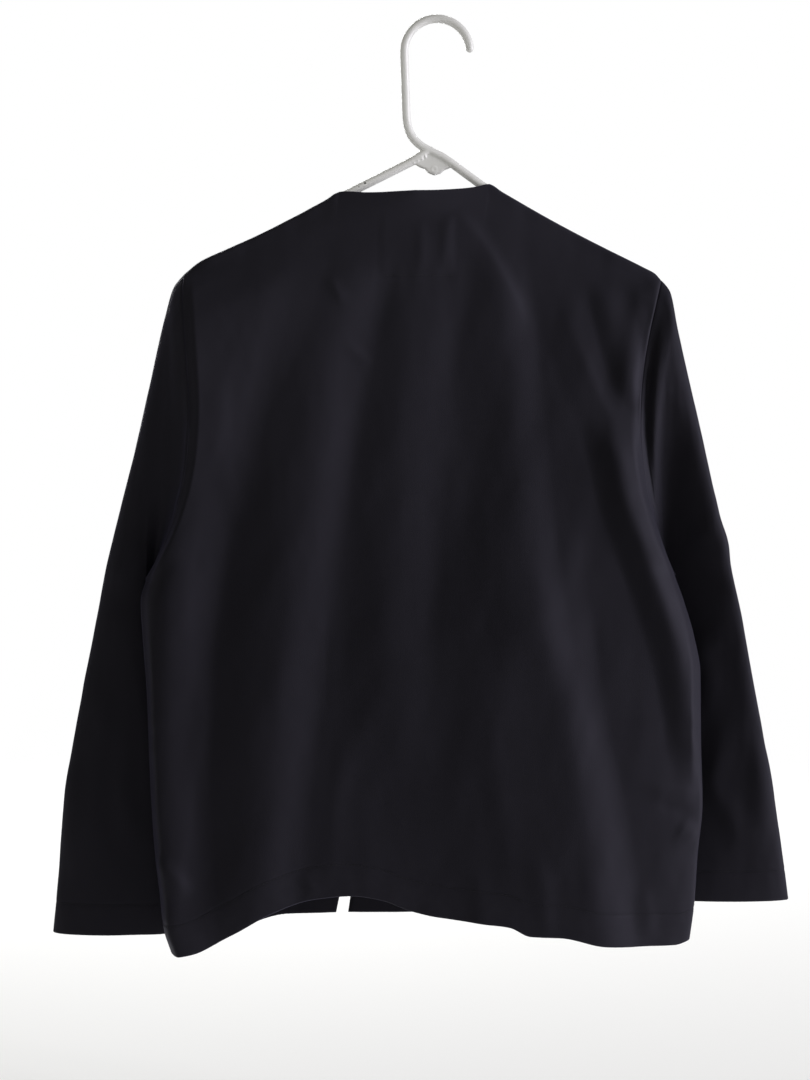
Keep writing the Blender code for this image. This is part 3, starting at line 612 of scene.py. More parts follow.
def spread(edge: Array, drop: Array, distance: Array) -> Array:
    """An edge's values, evened out along it the further a panel lies from that edge.

    Args:
        edge: The values, one for each row.
        drop: The rows' places along the edge.
        distance: How far each point of the panel lies from the edge, a line for each row.

    Returns:
        The values that the panel takes over.
    """
    widths = np.array([0.0, 3.0, 8.0, 18.0, 40.0])
    copies = [edge]
    for width in widths[1:]:
        weight = np.exp(-((drop[:, None] - drop[None, :]) / width) ** 2)
        weight = weight * np.gradient(drop)[None, :]
        copies.append(weight @ edge / weight.sum(axis=1))
    level = np.interp(distance, widths * 1.6, np.arange(len(widths)))
    low = np.minimum(level.astype(int), len(widths) - 2)
    rows = np.broadcast_to(np.arange(len(drop))[:, None], level.shape)
    table = np.array(copies)
    return mix(table[low, rows], table[low + 1, rows], level - low)


def edge_pull(side: Side, distance: Array, drop: Array, side_pull: Array) -> Array:
    """How much of a side edge's own depth a panel takes.

    Args:
        side: The side that the edge is on.
        distance: How far the panel's points lie from that edge.
        drop: The drop of the edge in each row.
        side_pull: How much it takes below the underarm.

    Returns:
        The shares, from 0 to 1.
    """
    ease = (1.0 - np.minimum(distance / ARMHOLE_EASE, 1.0)) ** 2
    start = armhole_points(side.armhole, np.array(EASE_END * math.pi))[2]
    return mix(ease, side_pull, smooth((drop - start) / (side.armhole.underarm.drop - start)))


@dataclass
class Panel:
    """A grid of points of a body panel, with how far each lies from the panel's edges."""

    points: Array
    across: Array
    drop: Array
    from_side: Array
    from_top: Array
    on_neck: Array

    @property
    def from_shoulder(self) -> Array:
        """How far each point lies below a shoulder seam."""
        return np.where(self.on_neck, FAR_OFF, self.from_top)

    @property
    def from_neck(self) -> Array:
        """How far each point lies below the neckline."""
        return np.where(self.on_neck, self.from_top, FAR_OFF)


def back_grid(share: Array, row: Array) -> Panel:
    """The back's surface.

    Args:
        share: Shares from the left edge to the right one.
        row: Rows from 0 at the top to 2 at the hem.

    Returns:
        Its points, one line of them for each row.
    """
    left, right = (side_edge(side, Face.BACK, row)[:, None, :] for side in (LEFT, RIGHT))
    share = share[None, :]
    across = mix(left[..., 0], right[..., 0], share)
    top_across = mix(LEFT.tip.across, RIGHT.tip.across, share)
    top = through(column(BACK_NECK, 0), column(BACK_NECK, 1), top_across)
    top = np.where(top_across <= LEFT.neck.across, shoulder_drop(LEFT, top_across), top)
    top = np.where(top_across >= RIGHT.neck.across, shoulder_drop(RIGHT, top_across), top)
    top = top - corner_lift(LEFT, top_across) - corner_lift(RIGHT, top_across)
    hem = through(column(BACK_HEM, 0), column(BACK_HEM, 1), share)
    down = [(edge[..., 2] - side.tip.drop) / (side.side_seam[-1].drop - side.tip.drop)
            for edge, side in ((left, LEFT), (right, RIGHT))]
    drop = mix(top, hem, mix(down[0], down[1], share))
    inside = np.minimum(top_across - LEFT.neck.across, RIGHT.neck.across - top_across)
    below = drop + spread((np.maximum(inside, 0.0) - top)[0], top_across[0],
                          NECK_SPREAD * (drop - top).T).T
    body = through(column(BODY_DEPTH, 0), column(BODY_DEPTH, 1), drop)
    depth = leave_the_arm(Face.BACK, below, body)
    near = [across - left[..., 0], right[..., 0] - across]
    for side, edge, gap in ((LEFT, left, near[0]), (RIGHT, right, near[1])):
        distance = np.maximum((spread(edge[:, 0, 0], edge[:, 0, 2], gap) - across) * side.sign, 0.0)
        pull = edge_pull(side, distance, edge[..., 2],
                         1.0 - quarter_round(distance / BACK_SIDE_ROUND))
        own = leave_the_arm(Face.BACK, edge[..., 2] - side.tip.drop, body)
        depth = depth + (spread(edge[:, 0, 1], edge[:, 0, 2], distance) - own) * pull
    from_side = np.minimum(near[0], near[1])
    live = smooth(from_side / FOLD_EDGE) * smooth(below / SLACK)
    depth = depth - sum(fold.at(across, drop) for fold in BACK_FOLDS) * live
    return Panel(np.stack([across, depth, -drop], axis=-1), across, drop, from_side,
                 drop - top, np.broadcast_to(inside > 0.0, drop.shape))


def front_grid(side: Side, share: Array, row: Array) -> Panel:
    """A front's surface.

    Args:
        side: The side it is on.
        share: Shares from the side seam to the front edge.
        row: Rows from 0 at the top to 2 at the hem.

    Returns:
        Its points, one line of them for each row.
    """
    edge = side_edge(side, Face.FRONT, row)[:, None, :]
    share = share[None, :]
    corner, tip = side.neck, side.tip
    down = (edge[..., 2] - tip.drop) / (side.side_seam[-1].drop - tip.drop)
    opening = (mix(CENTRE_FRONT, HEM_OPENING, down ** OPENING_BEND)
               + side.sign * HEM_GAP / 2.0 * down ** GAP_BEND)
    across = mix(edge[..., 0], opening, share)
    top_across = mix(tip.across, CENTRE_FRONT, share)
    in_neck = (corner.across - top_across) * side.sign
    lift = corner_lift(side, top_across)
    part = np.clip((top_across - CENTRE_FRONT) / (corner.across - CENTRE_FRONT), 0.0, 1.0)
    scoop_depth = FRONT_NECK_DEPTH + LEFT.neck.drop - corner.drop
    scoop = corner.drop + scoop_depth * np.sqrt(1.0 - part ** 2)
    top = np.where(in_neck > 0.0, scoop, shoulder_drop(side, top_across)) - lift
    from_corner = np.where(in_neck > 0.0, np.hypot(in_neck, top - corner.drop), 0.0)
    hem = mix(side.side_seam[-1].drop, FRONT_HEM_DROP, smooth(share / FRONT_HEM_LEVEL))
    drop = mix(top, hem, down)
    body = through(column(BODY_DEPTH, 0), column(BODY_DEPTH, 2), drop)
    below = drop + spread((from_corner - top)[0], top_across[0], NECK_SPREAD * (drop - top).T).T
    depth = leave_the_arm(Face.FRONT, below, body)
    gap = np.abs(across - edge[..., 0])
    distance = np.maximum((spread(edge[:, 0, 0], edge[:, 0, 2], gap) - across) * side.sign, 0.0)
    small = 1.0 - quarter_round(distance / FRONT_SIDE_ROUND)
    large = 1.0 - smooth(distance / FRONT_SIDE_WIDTH)
    pull = edge_pull(side, distance, edge[..., 2], mix(large, small, FRONT_SIDE_SHARE))
    own = leave_the_arm(Face.FRONT, edge[..., 2] - tip.drop, body)
    depth = depth + (spread(edge[:, 0, 1], edge[:, 0, 2], distance) - own) * pull
    live = smooth(distance / FRONT_SIDE_ROUND) * smooth(below / SLACK)
    depth = depth + sum(fold.at(across, drop) for fold in FRONT_FOLDS) * live
    return Panel(np.stack([across, depth, -drop], axis=-1), across, drop, gap,
                 drop - top, np.broadcast_to(in_neck > 0.0, drop.shape))


def sleeve_grid(side: Side, turn_share: Array, along: Array) -> Array:
    """A sleeve's surface.

    Args:
        side: The side it is on.
        turn_share: Shares of the way round it, from its outer edge over the back.
        along: Shares of the way down it.

    Returns:
        Its points, one ring of them for each share down.
    """
    turn = turn_share[None, :] * 2.0 * math.pi
    table = (Ring(0.0, *side.armhole[:4]),) + side.sleeve
    alongs = column(table, 0)
    rails = []
    for rail in ("outer", "back", "inner", "front"):
        places = np.array([getattr(ring, rail) for ring in table], float)
        rails.append(np.stack([through(alongs, places[:, i], along) for i in range(3)],
                              axis=-1)[:, None, :])
    points = ring_point(turn, *rails)
    points[..., 0] += lean_at(side.armhole, turn) * (1.0 - smooth(along / LEAN_END))[:, None]
    points[..., 2] *= -1.0
    return points


# ------------------------------------------------------------------ shader graphs

class Number:
    """A number in a shader graph, with which Python's operators add Math nodes."""

    def __init__(self, graph: Graph, socket: bpy.types.NodeSocket) -> None:
        """Wrap a socket of a graph."""
        self.graph = graph
        self.socket = socket

    def __add__(self, other: Any) -> Number:
        """Sum."""
        return self.graph.maths("ADD", self, other)

    __radd__ = __add__

    def __sub__(self, other: Any) -> Number:
        """Difference."""
        return self.graph.maths("SUBTRACT", self, other)

    def __rsub__(self, other: Any) -> Number:
        """Difference, from a plain number."""
        return self.graph.maths("SUBTRACT", other, self)

    def __mul__(self, other: Any) -> Number:
        """Product."""
        return self.graph.maths("MULTIPLY", self, other)

    __rmul__ = __mul__

    def step(self, low: float, high: float) -> Number:
        """A smooth step from 0 at low to 1 at high."""
        return self.graph.map_range(self, low, high)

    def sine(self) -> Number:
        """Its sine, in radians."""
        return self.graph.maths("SINE", self)

    def size(self) -> Number:
        """Its size, without its sign."""
        return self.graph.maths("ABSOLUTE", self)


class Graph:
    """The shader graph of one material."""

    def __init__(self, name: str) -> None:
        """Start a material with that name."""
        self.material = bpy.data.materials.new(name)
        self.material.use_nodes = True
        self.tree = self.material.node_tree
        self.shader = self.tree.nodes["Principled BSDF"]

    def node(self, kind: str, settings: dict[str, Any], inputs: dict[Any, Any]) -> bpy.types.Node:
        """Add a node.

        Args:
            kind: Its type.
            settings: What is set on the node itself, first.
            inputs: Values or links of its sockets, by name or index.

        Returns:
            The node.
        """
        made = self.tree.nodes.new(kind)
        for key, value in settings.items():
            setattr(made, key, value)
        for key, value in inputs.items():
            self.feed(made.inputs[key], value)
        return made

    def feed(self, socket: bpy.types.NodeSocket, value: Any) -> None:
        """Link a value to a socket, or set a plain one on it.

        Args:
            socket: The socket.
            value: A number or socket of the graph, or a plain number, vector or colour.
        """
        if isinstance(value, Number):
            value = value.socket
        if isinstance(value, bpy.types.NodeSocket):
            self.tree.links.new(value, socket)
        elif socket.type == "RGBA" and len(value) == 3:
            socket.default_value = (*value, 1.0)
        else:
            socket.default_value = value

    def maths(self, operation: str, *values: Any) -> Number:
        """A Math node's result."""
        made = self.node("ShaderNodeMath", {"operation": operation}, dict(enumerate(values)))
        return Number(self, made.outputs[0])

    def map_range(self, value: Number, low: float, high: float) -> Number:
        """A value turned into a smooth step from 0 to 1."""
        made = self.node("ShaderNodeMapRange", {"interpolation_type": "SMOOTHSTEP"},
                         {"Value": value, "From Min": low, "From Max": high})
        return Number(self, made.outputs[0])

    def vector(self, operation: str, *values: Any) -> bpy.types.NodeSocket:
        """A Vector Math node's vector."""
        made = self.node("ShaderNodeVectorMath", {"operation": operation}, dict(enumerate(values)))
        return made.outputs["Vector"]

    def distance(self, a: Any, b: Any) -> Number:
        """The distance between two points."""
        made = self.node("ShaderNodeVectorMath", {"operation": "DISTANCE"}, {0: a, 1: b})
        return Number(self, made.outputs["Value"])

    def parts(self, vector: Any) -> tuple[Number, Number, Number]:
        """A vector's three numbers."""
        made = self.node("ShaderNodeSeparateXYZ", {}, {0: vector})
        x, y, z = (Number(self, socket) for socket in made.outputs[:3])
        return x, y, z

    def blend(self, factor: Any, first: Any, second: Any) -> bpy.types.NodeSocket:
        """Two colours mixed by a factor."""
        made = self.node("ShaderNodeMix", {"data_type": "RGBA"}, {0: factor, 6: first, 7: second})
        return made.outputs[2]

    def noise(self, place: Any, scale: float, detail: float = 2.0) -> Number:
        """Noise from 0 to 1 over a place."""
        made = self.node("ShaderNodeTexNoise", {},
                         {"Vector": place, "Scale": scale, "Detail": detail})
        return Number(self, made.outputs[0])

    def coordinates(self, output: str) -> bpy.types.NodeSocket:
        """One of the Texture Coordinate node's outputs."""
        return self.node("ShaderNodeTexCoord", {}, {}).outputs[output]

    def attribute(self, name: str) -> Number:
        """A number that the mesh holds at each of its points."""
        made = self.node("ShaderNodeAttribute", {"attribute_name": name}, {})
        return Number(self, made.outputs["Fac"])

    def bump(self, height: Any, distance: float) -> None:
        """Give the shader a bump of that height, in metres for each unit."""
        made = self.node("ShaderNodeBump", {},
                         {"Height": height, "Distance": distance, "Strength": 1.0})
        self.tree.links.new(made.outputs["Normal"], self.shader.inputs["Normal"])

    def dress(self, **values: Any) -> bpy.types.Material:
        """Set the shader's own sockets, whose names have _ for a space, and give the material."""
        for name, value in values.items():
            self.feed(self.shader.inputs[name.replace("_", " ")], value)
        return self.material


def toned(colour: Colour, share: float) -> Colour:
    """A colour made darker or, with a share above 1, lighter."""
    red, green, blue = colour
    return red * share, green * share, blue * share


@dataclass(frozen=True)
class NavyCloth:
    """A smooth, fine-woven, very dark navy cloth with a soft sheen."""

    colour: Colour = (0.0121, 0.0117, 0.0143)
    worn: Colour = (0.0146, 0.0142, 0.0173)
    roughness: float = 0.64
    thread: float = 0.42e-3
    gloss: float = 0.17
    gloss_tint: Colour = (0.78, 0.72, 1.0)
    sheen: float = 0.06
    sheen_tint: Colour = (0.5, 0.46, 1.0)

    def make(self) -> bpy.types.Material:
        """Make the cloth. Its UV map is in metres, and its points hold how near an edge they are.

        Returns:
            The material.
        """
        graph = Graph("navy_cloth")
        place = graph.coordinates("UV")
        across, down, _ = graph.parts(place)
        turn = math.pi / self.thread
        weave_relief_and_shade = (across * turn).sine() * (down * turn).sine()
        slub = graph.noise(graph.vector("MULTIPLY", place, (1.0, 0.06, 1.0)), 1500.0, 1.0)
        cloudy = graph.noise(place, 17.0, 3.0)
        edge = graph.attribute("edge")
        # random mottled tone and slubs, plus a small painted shade between the threads where the
        # weave's bump sinks
        mottle_and_weave_shade = cloudy * 0.55 + slub * 0.3 + weave_relief_and_shade * 0.05
        tone = graph.blend(mottle_and_weave_shade, toned(self.colour, 0.84), toned(self.colour, 1.2))
        wear = edge * graph.noise(place, 130.0).step(0.3, 0.75) * 0.6
        base = graph.blend(wear, tone, self.worn)
        graph.bump(weave_relief_and_shade * 0.5 + slub * 0.6, 0.00006)
        return graph.dress(Base_Color=base, Roughness=cloudy * 0.12 + (self.roughness - 0.06),
                           Specular_IOR_Level=self.gloss, Specular_Tint=self.gloss_tint,
                           Sheen_Weight=self.sheen, Sheen_Roughness=0.45,
                           Sheen_Tint=self.sheen_tint)


@dataclass(frozen=True)
class Thread:
    """Twisted sewing thread, a little lighter than the cloth."""

    colour: Colour = (0.0135, 0.0128, 0.0165)
    pitch: float = 0.4e-3

    def make(self) -> bpy.types.Material:
        """Make the thread, with a fine twist along its UV map's first direction, in metres, and
        painted shade in the twist's grooves.

        Returns:
            The material.
        """
        graph = Graph("navy_thread")
        along, around, _ = graph.parts(graph.coordinates("UV"))
        twist_and_groove_shade = (along * (2.0 * math.pi / self.pitch) + around * (2.0 * math.pi)).sine()
        # painted shade: the colour darkens to 0.7 in the grooves of the twist's bump
        base = graph.blend(twist_and_groove_shade * 0.5 + 0.5, toned(self.colour, 0.7), self.colour)
        graph.bump(twist_and_groove_shade, 0.00004)
        return graph.dress(Base_Color=base, Roughness=0.6, Specular_IOR_Level=0.15,
                           Sheen_Weight=0.08)


@dataclass(frozen=True)
class WhitePlastic:
    """Moulded white plastic with a parting line, faint flow marks and two pin marks, whose pits are
    painted near black as shade.
    """

    colour: Colour = (0.71, 0.705, 0.688)
    grey: Colour = (0.65, 0.645, 0.628)
    # painted shade: the near-black colour of the pin marks' pits
    pit_shade: Colour = (0.03, 0.028, 0.025)
    pins: tuple[tuple[Place, float], ...] = ((Place(-63.4, -3.4, 141.6), 0.8),
                                             (Place(-68.7, -3.4, 144.8), 0.45))

    def make(self) -> bpy.types.Material:
        """Make the plastic. It is placed by the row's own coordinates, in metres.

        Returns:
            The material.
        """
        graph = Graph("white_plastic")
        place = graph.coordinates("Object")
        _, depth, _ = graph.parts(place)
        parting = 1.0 - depth.size().step(0.12e-3, 0.4e-3)
        pins: Any = 0.0
        for pin, radius in self.pins:
            centre = (pin.across * MM, pin.depth * MM, -pin.drop * MM)
            pit_and_its_shade = 1.0 - graph.distance(place, centre).step(radius * 0.6 * MM, radius * 1.7 * MM)
            pins = pit_and_its_shade + pins
        flow = graph.noise(graph.vector("MULTIPLY", place, (1.0, 3.0, 1.0)), 45.0, 3.0)
        clean = graph.blend(flow.step(0.35, 0.8) * 0.4 + parting * 0.05, self.colour, self.grey)
        # the pin marks take the painted pit shade where the bump sinks them
        base = graph.blend(pins, clean, self.pit_shade)
        graph.bump(parting * 0.3 + flow * 0.25 - pins, 0.0001)
        return graph.dress(Base_Color=base, Roughness=flow * 0.12 + 0.32,
                           Specular_IOR_Level=0.45)


@dataclass(frozen=True)
class Ground:
    """A pale, matt studio floor that fades into the surroundings."""

    colour: Colour = (0.92, 0.92, 0.918)
    solid: float = 0.4                 # how far out it is whole, in metres
    gone: float = 3.2                  # and where it has faded away

    def make(self) -> bpy.types.Material:
        """Make the floor, with a faint unevenness.

        Returns:
            The material.
        """
        graph = Graph("pale_floor")
        place = graph.coordinates("Object")
        cloudy = graph.noise(place, 1.5, 3.0)
        base = graph.blend(cloudy, self.colour, toned(self.colour, 0.985))
        left = 1.0 - graph.distance(place, (0.0, 0.0, 0.0)).step(self.solid, self.gone)
        return graph.dress(Base_Color=base, Roughness=0.85, Alpha=left)


# ------------------------------------------------------------------ meshes

def mesh_object(name: str, points: Array, faces: Array, uv: Array,
                edge: Array | None = None) -> bpy.types.Object:
    """Make an object of quads.

    Args:
        name: Its name.
        points: Its points, in millimetres.
        faces: The four points of each face.
        uv: A UV place for each point, in metres.
        edge: How near an edge each point is, from 0 to 1.

    Returns:
        The object, linked to the scene.
    """
    mesh = bpy.data.meshes.new(name)
    mesh.vertices.add(len(points))
    mesh.vertices.foreach_set("co", (points * MM).astype(np.float32).ravel())
    mesh.loops.add(faces.size)
    mesh.loops.foreach_set("vertex_index", faces.astype(np.int32).ravel())
    mesh.polygons.add(len(faces))
    mesh.polygons.foreach_set("loop_start", np.arange(0, faces.size, 4, dtype=np.int32))
    layer = mesh.uv_layers.new(name="UVMap")
    layer.data.foreach_set("uv", uv[faces.ravel()].astype(np.float32).ravel())
    if edge is not None:
        mesh.attributes.new("edge", "FLOAT", "POINT").data.foreach_set(
            "value", edge.astype(np.float32))
    mesh.update(calc_edges=True)
    mesh.shade_smooth()
    mesh.validate()
    made = bpy.data.objects.new(name, mesh)
    bpy.context.scene.collection.objects.link(made)
    return made


def grid_normals(points: Array, closed: bool) -> Array:
    """Directions square to a grid of points, evened out across its columns.

    Args:
        points: The grid. The directions point to where its rows are seen to turn clockwise.
        closed: Whether its last column meets the first one.

    Returns:
        The direction at each point, of length 1.
    """
    if closed:
        points = np.concatenate([points[:, -3:], points, points[:, :3]], axis=1)
    square = np.cross(np.gradient(points, axis=1), np.gradient(points, axis=0))
    total = square.copy()
    for step in (1, 2):
        total[:, step:] += square[:, :-step]
        total[:, :-step] += square[:, step:]
    return unit(total[:, 3:-3] if closed else total)


def grid_faces(index: Array, closed: bool) -> Array:
    """The quads of a grid.

    Args:
        index: The numbers of its points.
        closed: Whether its last column meets the first one.

    Returns:
        The four point numbers of each quad.
    """
    if closed:
        index = np.concatenate([index, index[:, :1]], axis=1)
    return np.stack([index[:-1, :-1], index[:-1, 1:], index[1:, 1:], index[1:, :-1]],
                    axis=-1).reshape(-1, 4)


def line_across(grids: tuple[Array, Array], keys: Array, at: float,
                columns: Sequence[int]) -> tuple[Array, Array]:
    """A line across a piece of cloth, at one place down each column.

    Args:
        grids: The cloth's points and its directions.
        keys: The rising places of its rows, for each column.
        at: The line's place.
        columns: The columns that it crosses.

    Returns:
        The line's points and the cloth's directions there.
    """
    points, normals = (np.array([[np.interp(at, keys[:, c], grid[:, c, i]) for i in range(3)]
                                 for c in columns]) for grid in grids)
    return points, unit(normals)


@dataclass
class Cloth:
    """A cut piece of cloth as a thin wall: its outer surface and, behind it, an inner one."""

    name: str
    outer: Array
    normals: Array
    thickness: Array
    uv: Array
    edge: Array
    closed: bool = False

    def build(self) -> bpy.types.Object:
        """Make the piece, with rounded rims at its free ends.

        Returns:
            Its object.
        """
        rows, columns = self.outer.shape[:2]
        inner = self.outer - self.normals * self.thickness[..., None]
        count = rows * columns
        index = np.arange(count).reshape(rows, columns)
        points = [self.outer.reshape(-1, 3), inner.reshape(-1, 3)]
        uv = [self.uv.reshape(-1, 2)] * 2
        edge = [self.edge.ravel()] * 2
        faces = [grid_faces(index, self.closed), grid_faces(index + count, self.closed)[:, ::-1]]
        made = 2 * count
        for first, second in ((0, 1), (-1, -2)):
            away = unit(self.outer[first] - self.outer[second])
            half = self.thickness[first][:, None] / 2.0
            points.append(self.outer[first] + (away - self.normals[first]) * half)
            uv.append(self.uv[first])
            edge.append(self.edge[first])
            rim = np.arange(made, made + columns)
            made += columns
            lines = [index[first], rim, index[first] + count]
            for upper, lower in zip(lines[:-1], lines[1:]):
                strip = grid_faces(np.stack([upper, lower]), self.closed)
                faces.append(strip[:, ::-1] if first == 0 else strip)
        if not self.closed:
            for side in (0, -1):
                strip = grid_faces(np.stack([index[:, side], index[:, side] + count]), False)
                faces.append(strip if side == 0 else strip[:, ::-1])
        return mesh_object(self.name, np.vstack(points), np.vstack(faces), np.vstack(uv),
                           np.concatenate(edge))

    def line(self, distance: float) -> tuple[Array, Array]:
        """The line at an even distance above the lower edge, with the cloth's directions there."""
        up = self.outer[::-1]
        return line_across((up, self.normals[::-1]), way_down(up), distance, range(up.shape[1]))


@dataclass(frozen=True)
class Stitching:
    """A row of lockstitches on the cloth."""

    length: float = 2.6
    pitch: float = 3.1
    radius: float = 0.17
    sides: int = 6
    form: tuple[Point, ...] = (        # share of its length, rise over the cloth, share of radius
        (0.0, -0.45, 0.35), (0.1, 0.02, 0.9), (0.3, 0.14, 1.0), (0.5, 0.18, 1.0),
        (0.7, 0.14, 1.0), (0.9, 0.02, 0.9), (1.0, -0.45, 0.35))

    def build(self, name: str, lines: Sequence[tuple[Array, Array]]) -> bpy.types.Object:
        """Sew along lines.

        Args:
            name: The piece's name.
            lines: Each line's points, and the cloth's directions at them.

        Returns:
            One object with all the stitches.
        """
        shares, rise, girth = np.array(self.form).T
        around = np.arange(self.sides) / self.sides
        points, faces, uv = [], [], []
        made = 0
        for line, normals in lines:
            run = way_down(line[:, None])[:, 0]
            for start in np.arange(self.pitch, run[-1] - self.pitch, self.pitch):
                at = start + shares * self.length
                centre = np.stack([np.interp(at, run, line[:, i]) for i in range(3)], axis=-1)
                out = np.stack([np.interp(at, run, normals[:, i]) for i in range(3)], axis=-1)
                out = unit(out)
                aside = unit(np.cross(unit(np.gradient(centre, axis=0)), out))
                centre = centre + out * rise[:, None]
                ring = rings_along(centre, self.radius * girth, aside, out, self.sides)
                points.append(ring.reshape(-1, 3))
                index = made + np.arange(ring.shape[0] * self.sides).reshape(-1, self.sides)
                faces.append(grid_faces(index, True))
                place = np.broadcast_arrays(at[:, None] * MM, around[None, :])
                uv.append(np.stack(place, axis=-1).reshape(-1, 2))
                made += index.size
        return mesh_object(name, np.vstack(points), np.vstack(faces), np.vstack(uv))


def wear_at(*distances: Array) -> Array:
    """How worn the cloth is, from its distances to its folded edges."""
    return np.clip(sum(np.exp(-np.maximum(d, 0.0) / 1.8) for d in distances), 0.0, 1.0)


def seam_roll(distance: Array) -> Array:
    """The soft roll of cloth beside a seam, level with the seam itself."""
    share = np.maximum(distance, 0.0) / 3.0
    return 0.45 * share * np.exp(1.0 - share)


def pucker(distance: Array, along: Array, reach: float, pitch: float, seed: int) -> Array:
    """Small waves across a seam, which die out away from it.

    Args:
        distance: How far the points lie from the seam.
        along: Their places along it.
        reach: How far the waves go.
        pitch: The length of one wave.
        seed: The seed of their noise.

    Returns:
        The waves, from -1 to 1.
    """
    away = np.maximum(distance, 0.0)
    wave = noise(along / pitch + 0.05 * away / pitch, np.zeros_like(along) + 0.5, seed)
    return wave * np.exp(-away / reach) * smooth(away / 2.5)


def stitch_groove(distance: Array, along: Array, seed: int) -> Array:
    """The groove of a stitched hem, with the short drags between its thread and its fold.

    Args:
        distance: How far the points lie above the hem's fold.
        along: Their places along it.
        seed: The seed of the drags.

    Returns:
        How far they raise the cloth.
    """
    groove = -0.22 * np.exp(-((distance - HEM_TURN) / 1.3) ** 2)
    inside = smooth(distance / 4.0) * smooth((HEM_TURN - distance) / 4.0)
    drags = noise((along + 0.5 * distance) / 9.0, distance / 60.0, seed) * 0.06
    above = np.exp(-np.maximum(distance - HEM_TURN, 0.0) / 7.0) * (distance > HEM_TURN)
    return groove + drags * inside + 0.18 * above * noise(along / 6.0, distance / 60.0, seed + 1)


def unevenness(across: Array, drop: Array, seed: int) -> Array:
    """The cloth's own soft unevenness, drawn out down the grain.

    Args:
        across: Places across the grain.
        drop: Places down the grain.
        seed: The seed of its noise.

    Returns:
        How far it raises the cloth.
    """
    return (noise(across / 46.0, drop / 120.0, seed) * 1.5
            + noise((across + 0.2 * drop) / 19.0, drop / 52.0, seed + 1) * 0.5
            + noise(across / 8.0, drop / 17.0, seed + 2) * 0.12)


def creased(panel: Panel, creases: Sequence[Crease], seed: int) -> Array:
    """The creases and the unevenness of a body panel, calmed down towards its seams.

    Args:
        panel: The panel.
        creases: Its creases.
        seed: The seed of its unevenness.

    Returns:
        How far they raise the cloth.
    """
    raised = sum(crease.at(panel.across, panel.drop) for crease in creases)
    raised = raised + unevenness(panel.across, panel.drop, seed) * smooth(panel.from_top / EVEN_TOP)
    return raised * (smooth(panel.from_side / SIDE_CALM) * smooth(panel.from_top / TOP_CALM))


def seam_relief(panel: Panel, seed: int) -> Array:
    """The rolls and puckers beside the side and shoulder seams of a body panel.

    Args:
        panel: The panel.
        seed: The seed of the puckers.

    Returns:
        How far they raise the cloth.
    """
    side, shoulder = panel.from_side, panel.from_shoulder
    puckers = (pucker(side, panel.drop, 16.0, 13.0, seed) * 1.1
               + pucker(shoulder, panel.across, 12.0, 11.0, seed + 1))
    rolls = seam_roll(side) + seam_roll(shoulder)
    return (puckers * 0.8 + rolls) * smooth(side / 1.5) * smooth(panel.from_top / 1.5)


def turned_thickness(from_hem: Array, *edges: tuple[float, Array]) -> Array:
    """Thickness of a piece that is turned in at its hem and at other edges.

    Args:
        from_hem: How far the points lie from the hem's fold.
        edges: For each other edge, the width turned in and how far the points lie from it.

    Returns:
        The thickness at each point.
    """
    shares = [smooth((HEM_TURN + 0.6 - from_hem) / 1.2)]
    shares += [smooth((width - distance) / 1.5) for width, distance in edges]
    return mix(CLOTH, TURNED, np.maximum.reduce(shares))


# ------------------------------------------------------------------ sub-assemblies

@dataclass(frozen=True)
class Dressing:
    """The finishes that all pieces share."""

    cloth: bpy.types.Material
    thread: bpy.types.Material
    plastic: bpy.types.Material

    def put_on(self, piece: bpy.types.Object, material: bpy.types.Material) -> None:
        """Dress a piece and let it ride on the jacket.

        Args:
            piece: The piece.
            material: Its material.
        """
        piece.data.materials.clear()
        piece.data.materials.append(material)
        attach(piece, "root")
        log.info("%s: %d faces", piece.name, len(piece.data.polygons))

    def sew(self, cloth: Cloth, node: str, seams: Sequence[tuple[Array, Array]]) -> None:
        """Make and dress a piece of cloth and its stitching.

        Args:
            cloth: The piece.
            node: The node of the CAD that it replaces.
            seams: Lines of stitches on it, each with its points and the cloth's directions.
        """
        piece = cloth.build()
        self.put_on(piece, self.cloth)
        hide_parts(node)
        stitches = Stitching().build(f"{node}_stitches", seams)
        self.put_on(stitches, self.thread)


def with_hem_rows(rows: Array, length: float, apart: float) -> Array:
    """Rows of a panel with those of its hem put in.

    Args:
        rows: The even rows, of which the last is the hem's fold.
        length: The length in millimetres of one unit of rows.
        apart: How near to the hem's rows an even row may be.

    Returns:
        The rows, from the top down.
    """
    hem = rows[-1] - HEM_ROWS / length
    kept = [row for row in rows if np.abs(hem - row).min() > apart or row == rows[-1]]
    return np.sort(np.concatenate([kept, hem]))


def body_rows(upper: int, lower: int) -> Array:
    """Rows of a body panel, evenly spread down the armhole and closer together at the hem.

    Args:
        upper: How many rows there are down the armhole.
        lower: How many there are below it, without those of the hem.

    Returns:
        The rows, from 0 at the top over 1 at the underarm to 2 at the hem.
    """
    even = np.linspace(0.0, 1.0, upper)
    armhole = mix(even, np.arccos(1.0 - 2.0 * even) / math.pi, 0.5)
    side = with_hem_rows(np.linspace(1.0, 2.0, lower)[1:], 325.0, 0.0025)
    return np.concatenate([armhole, side])


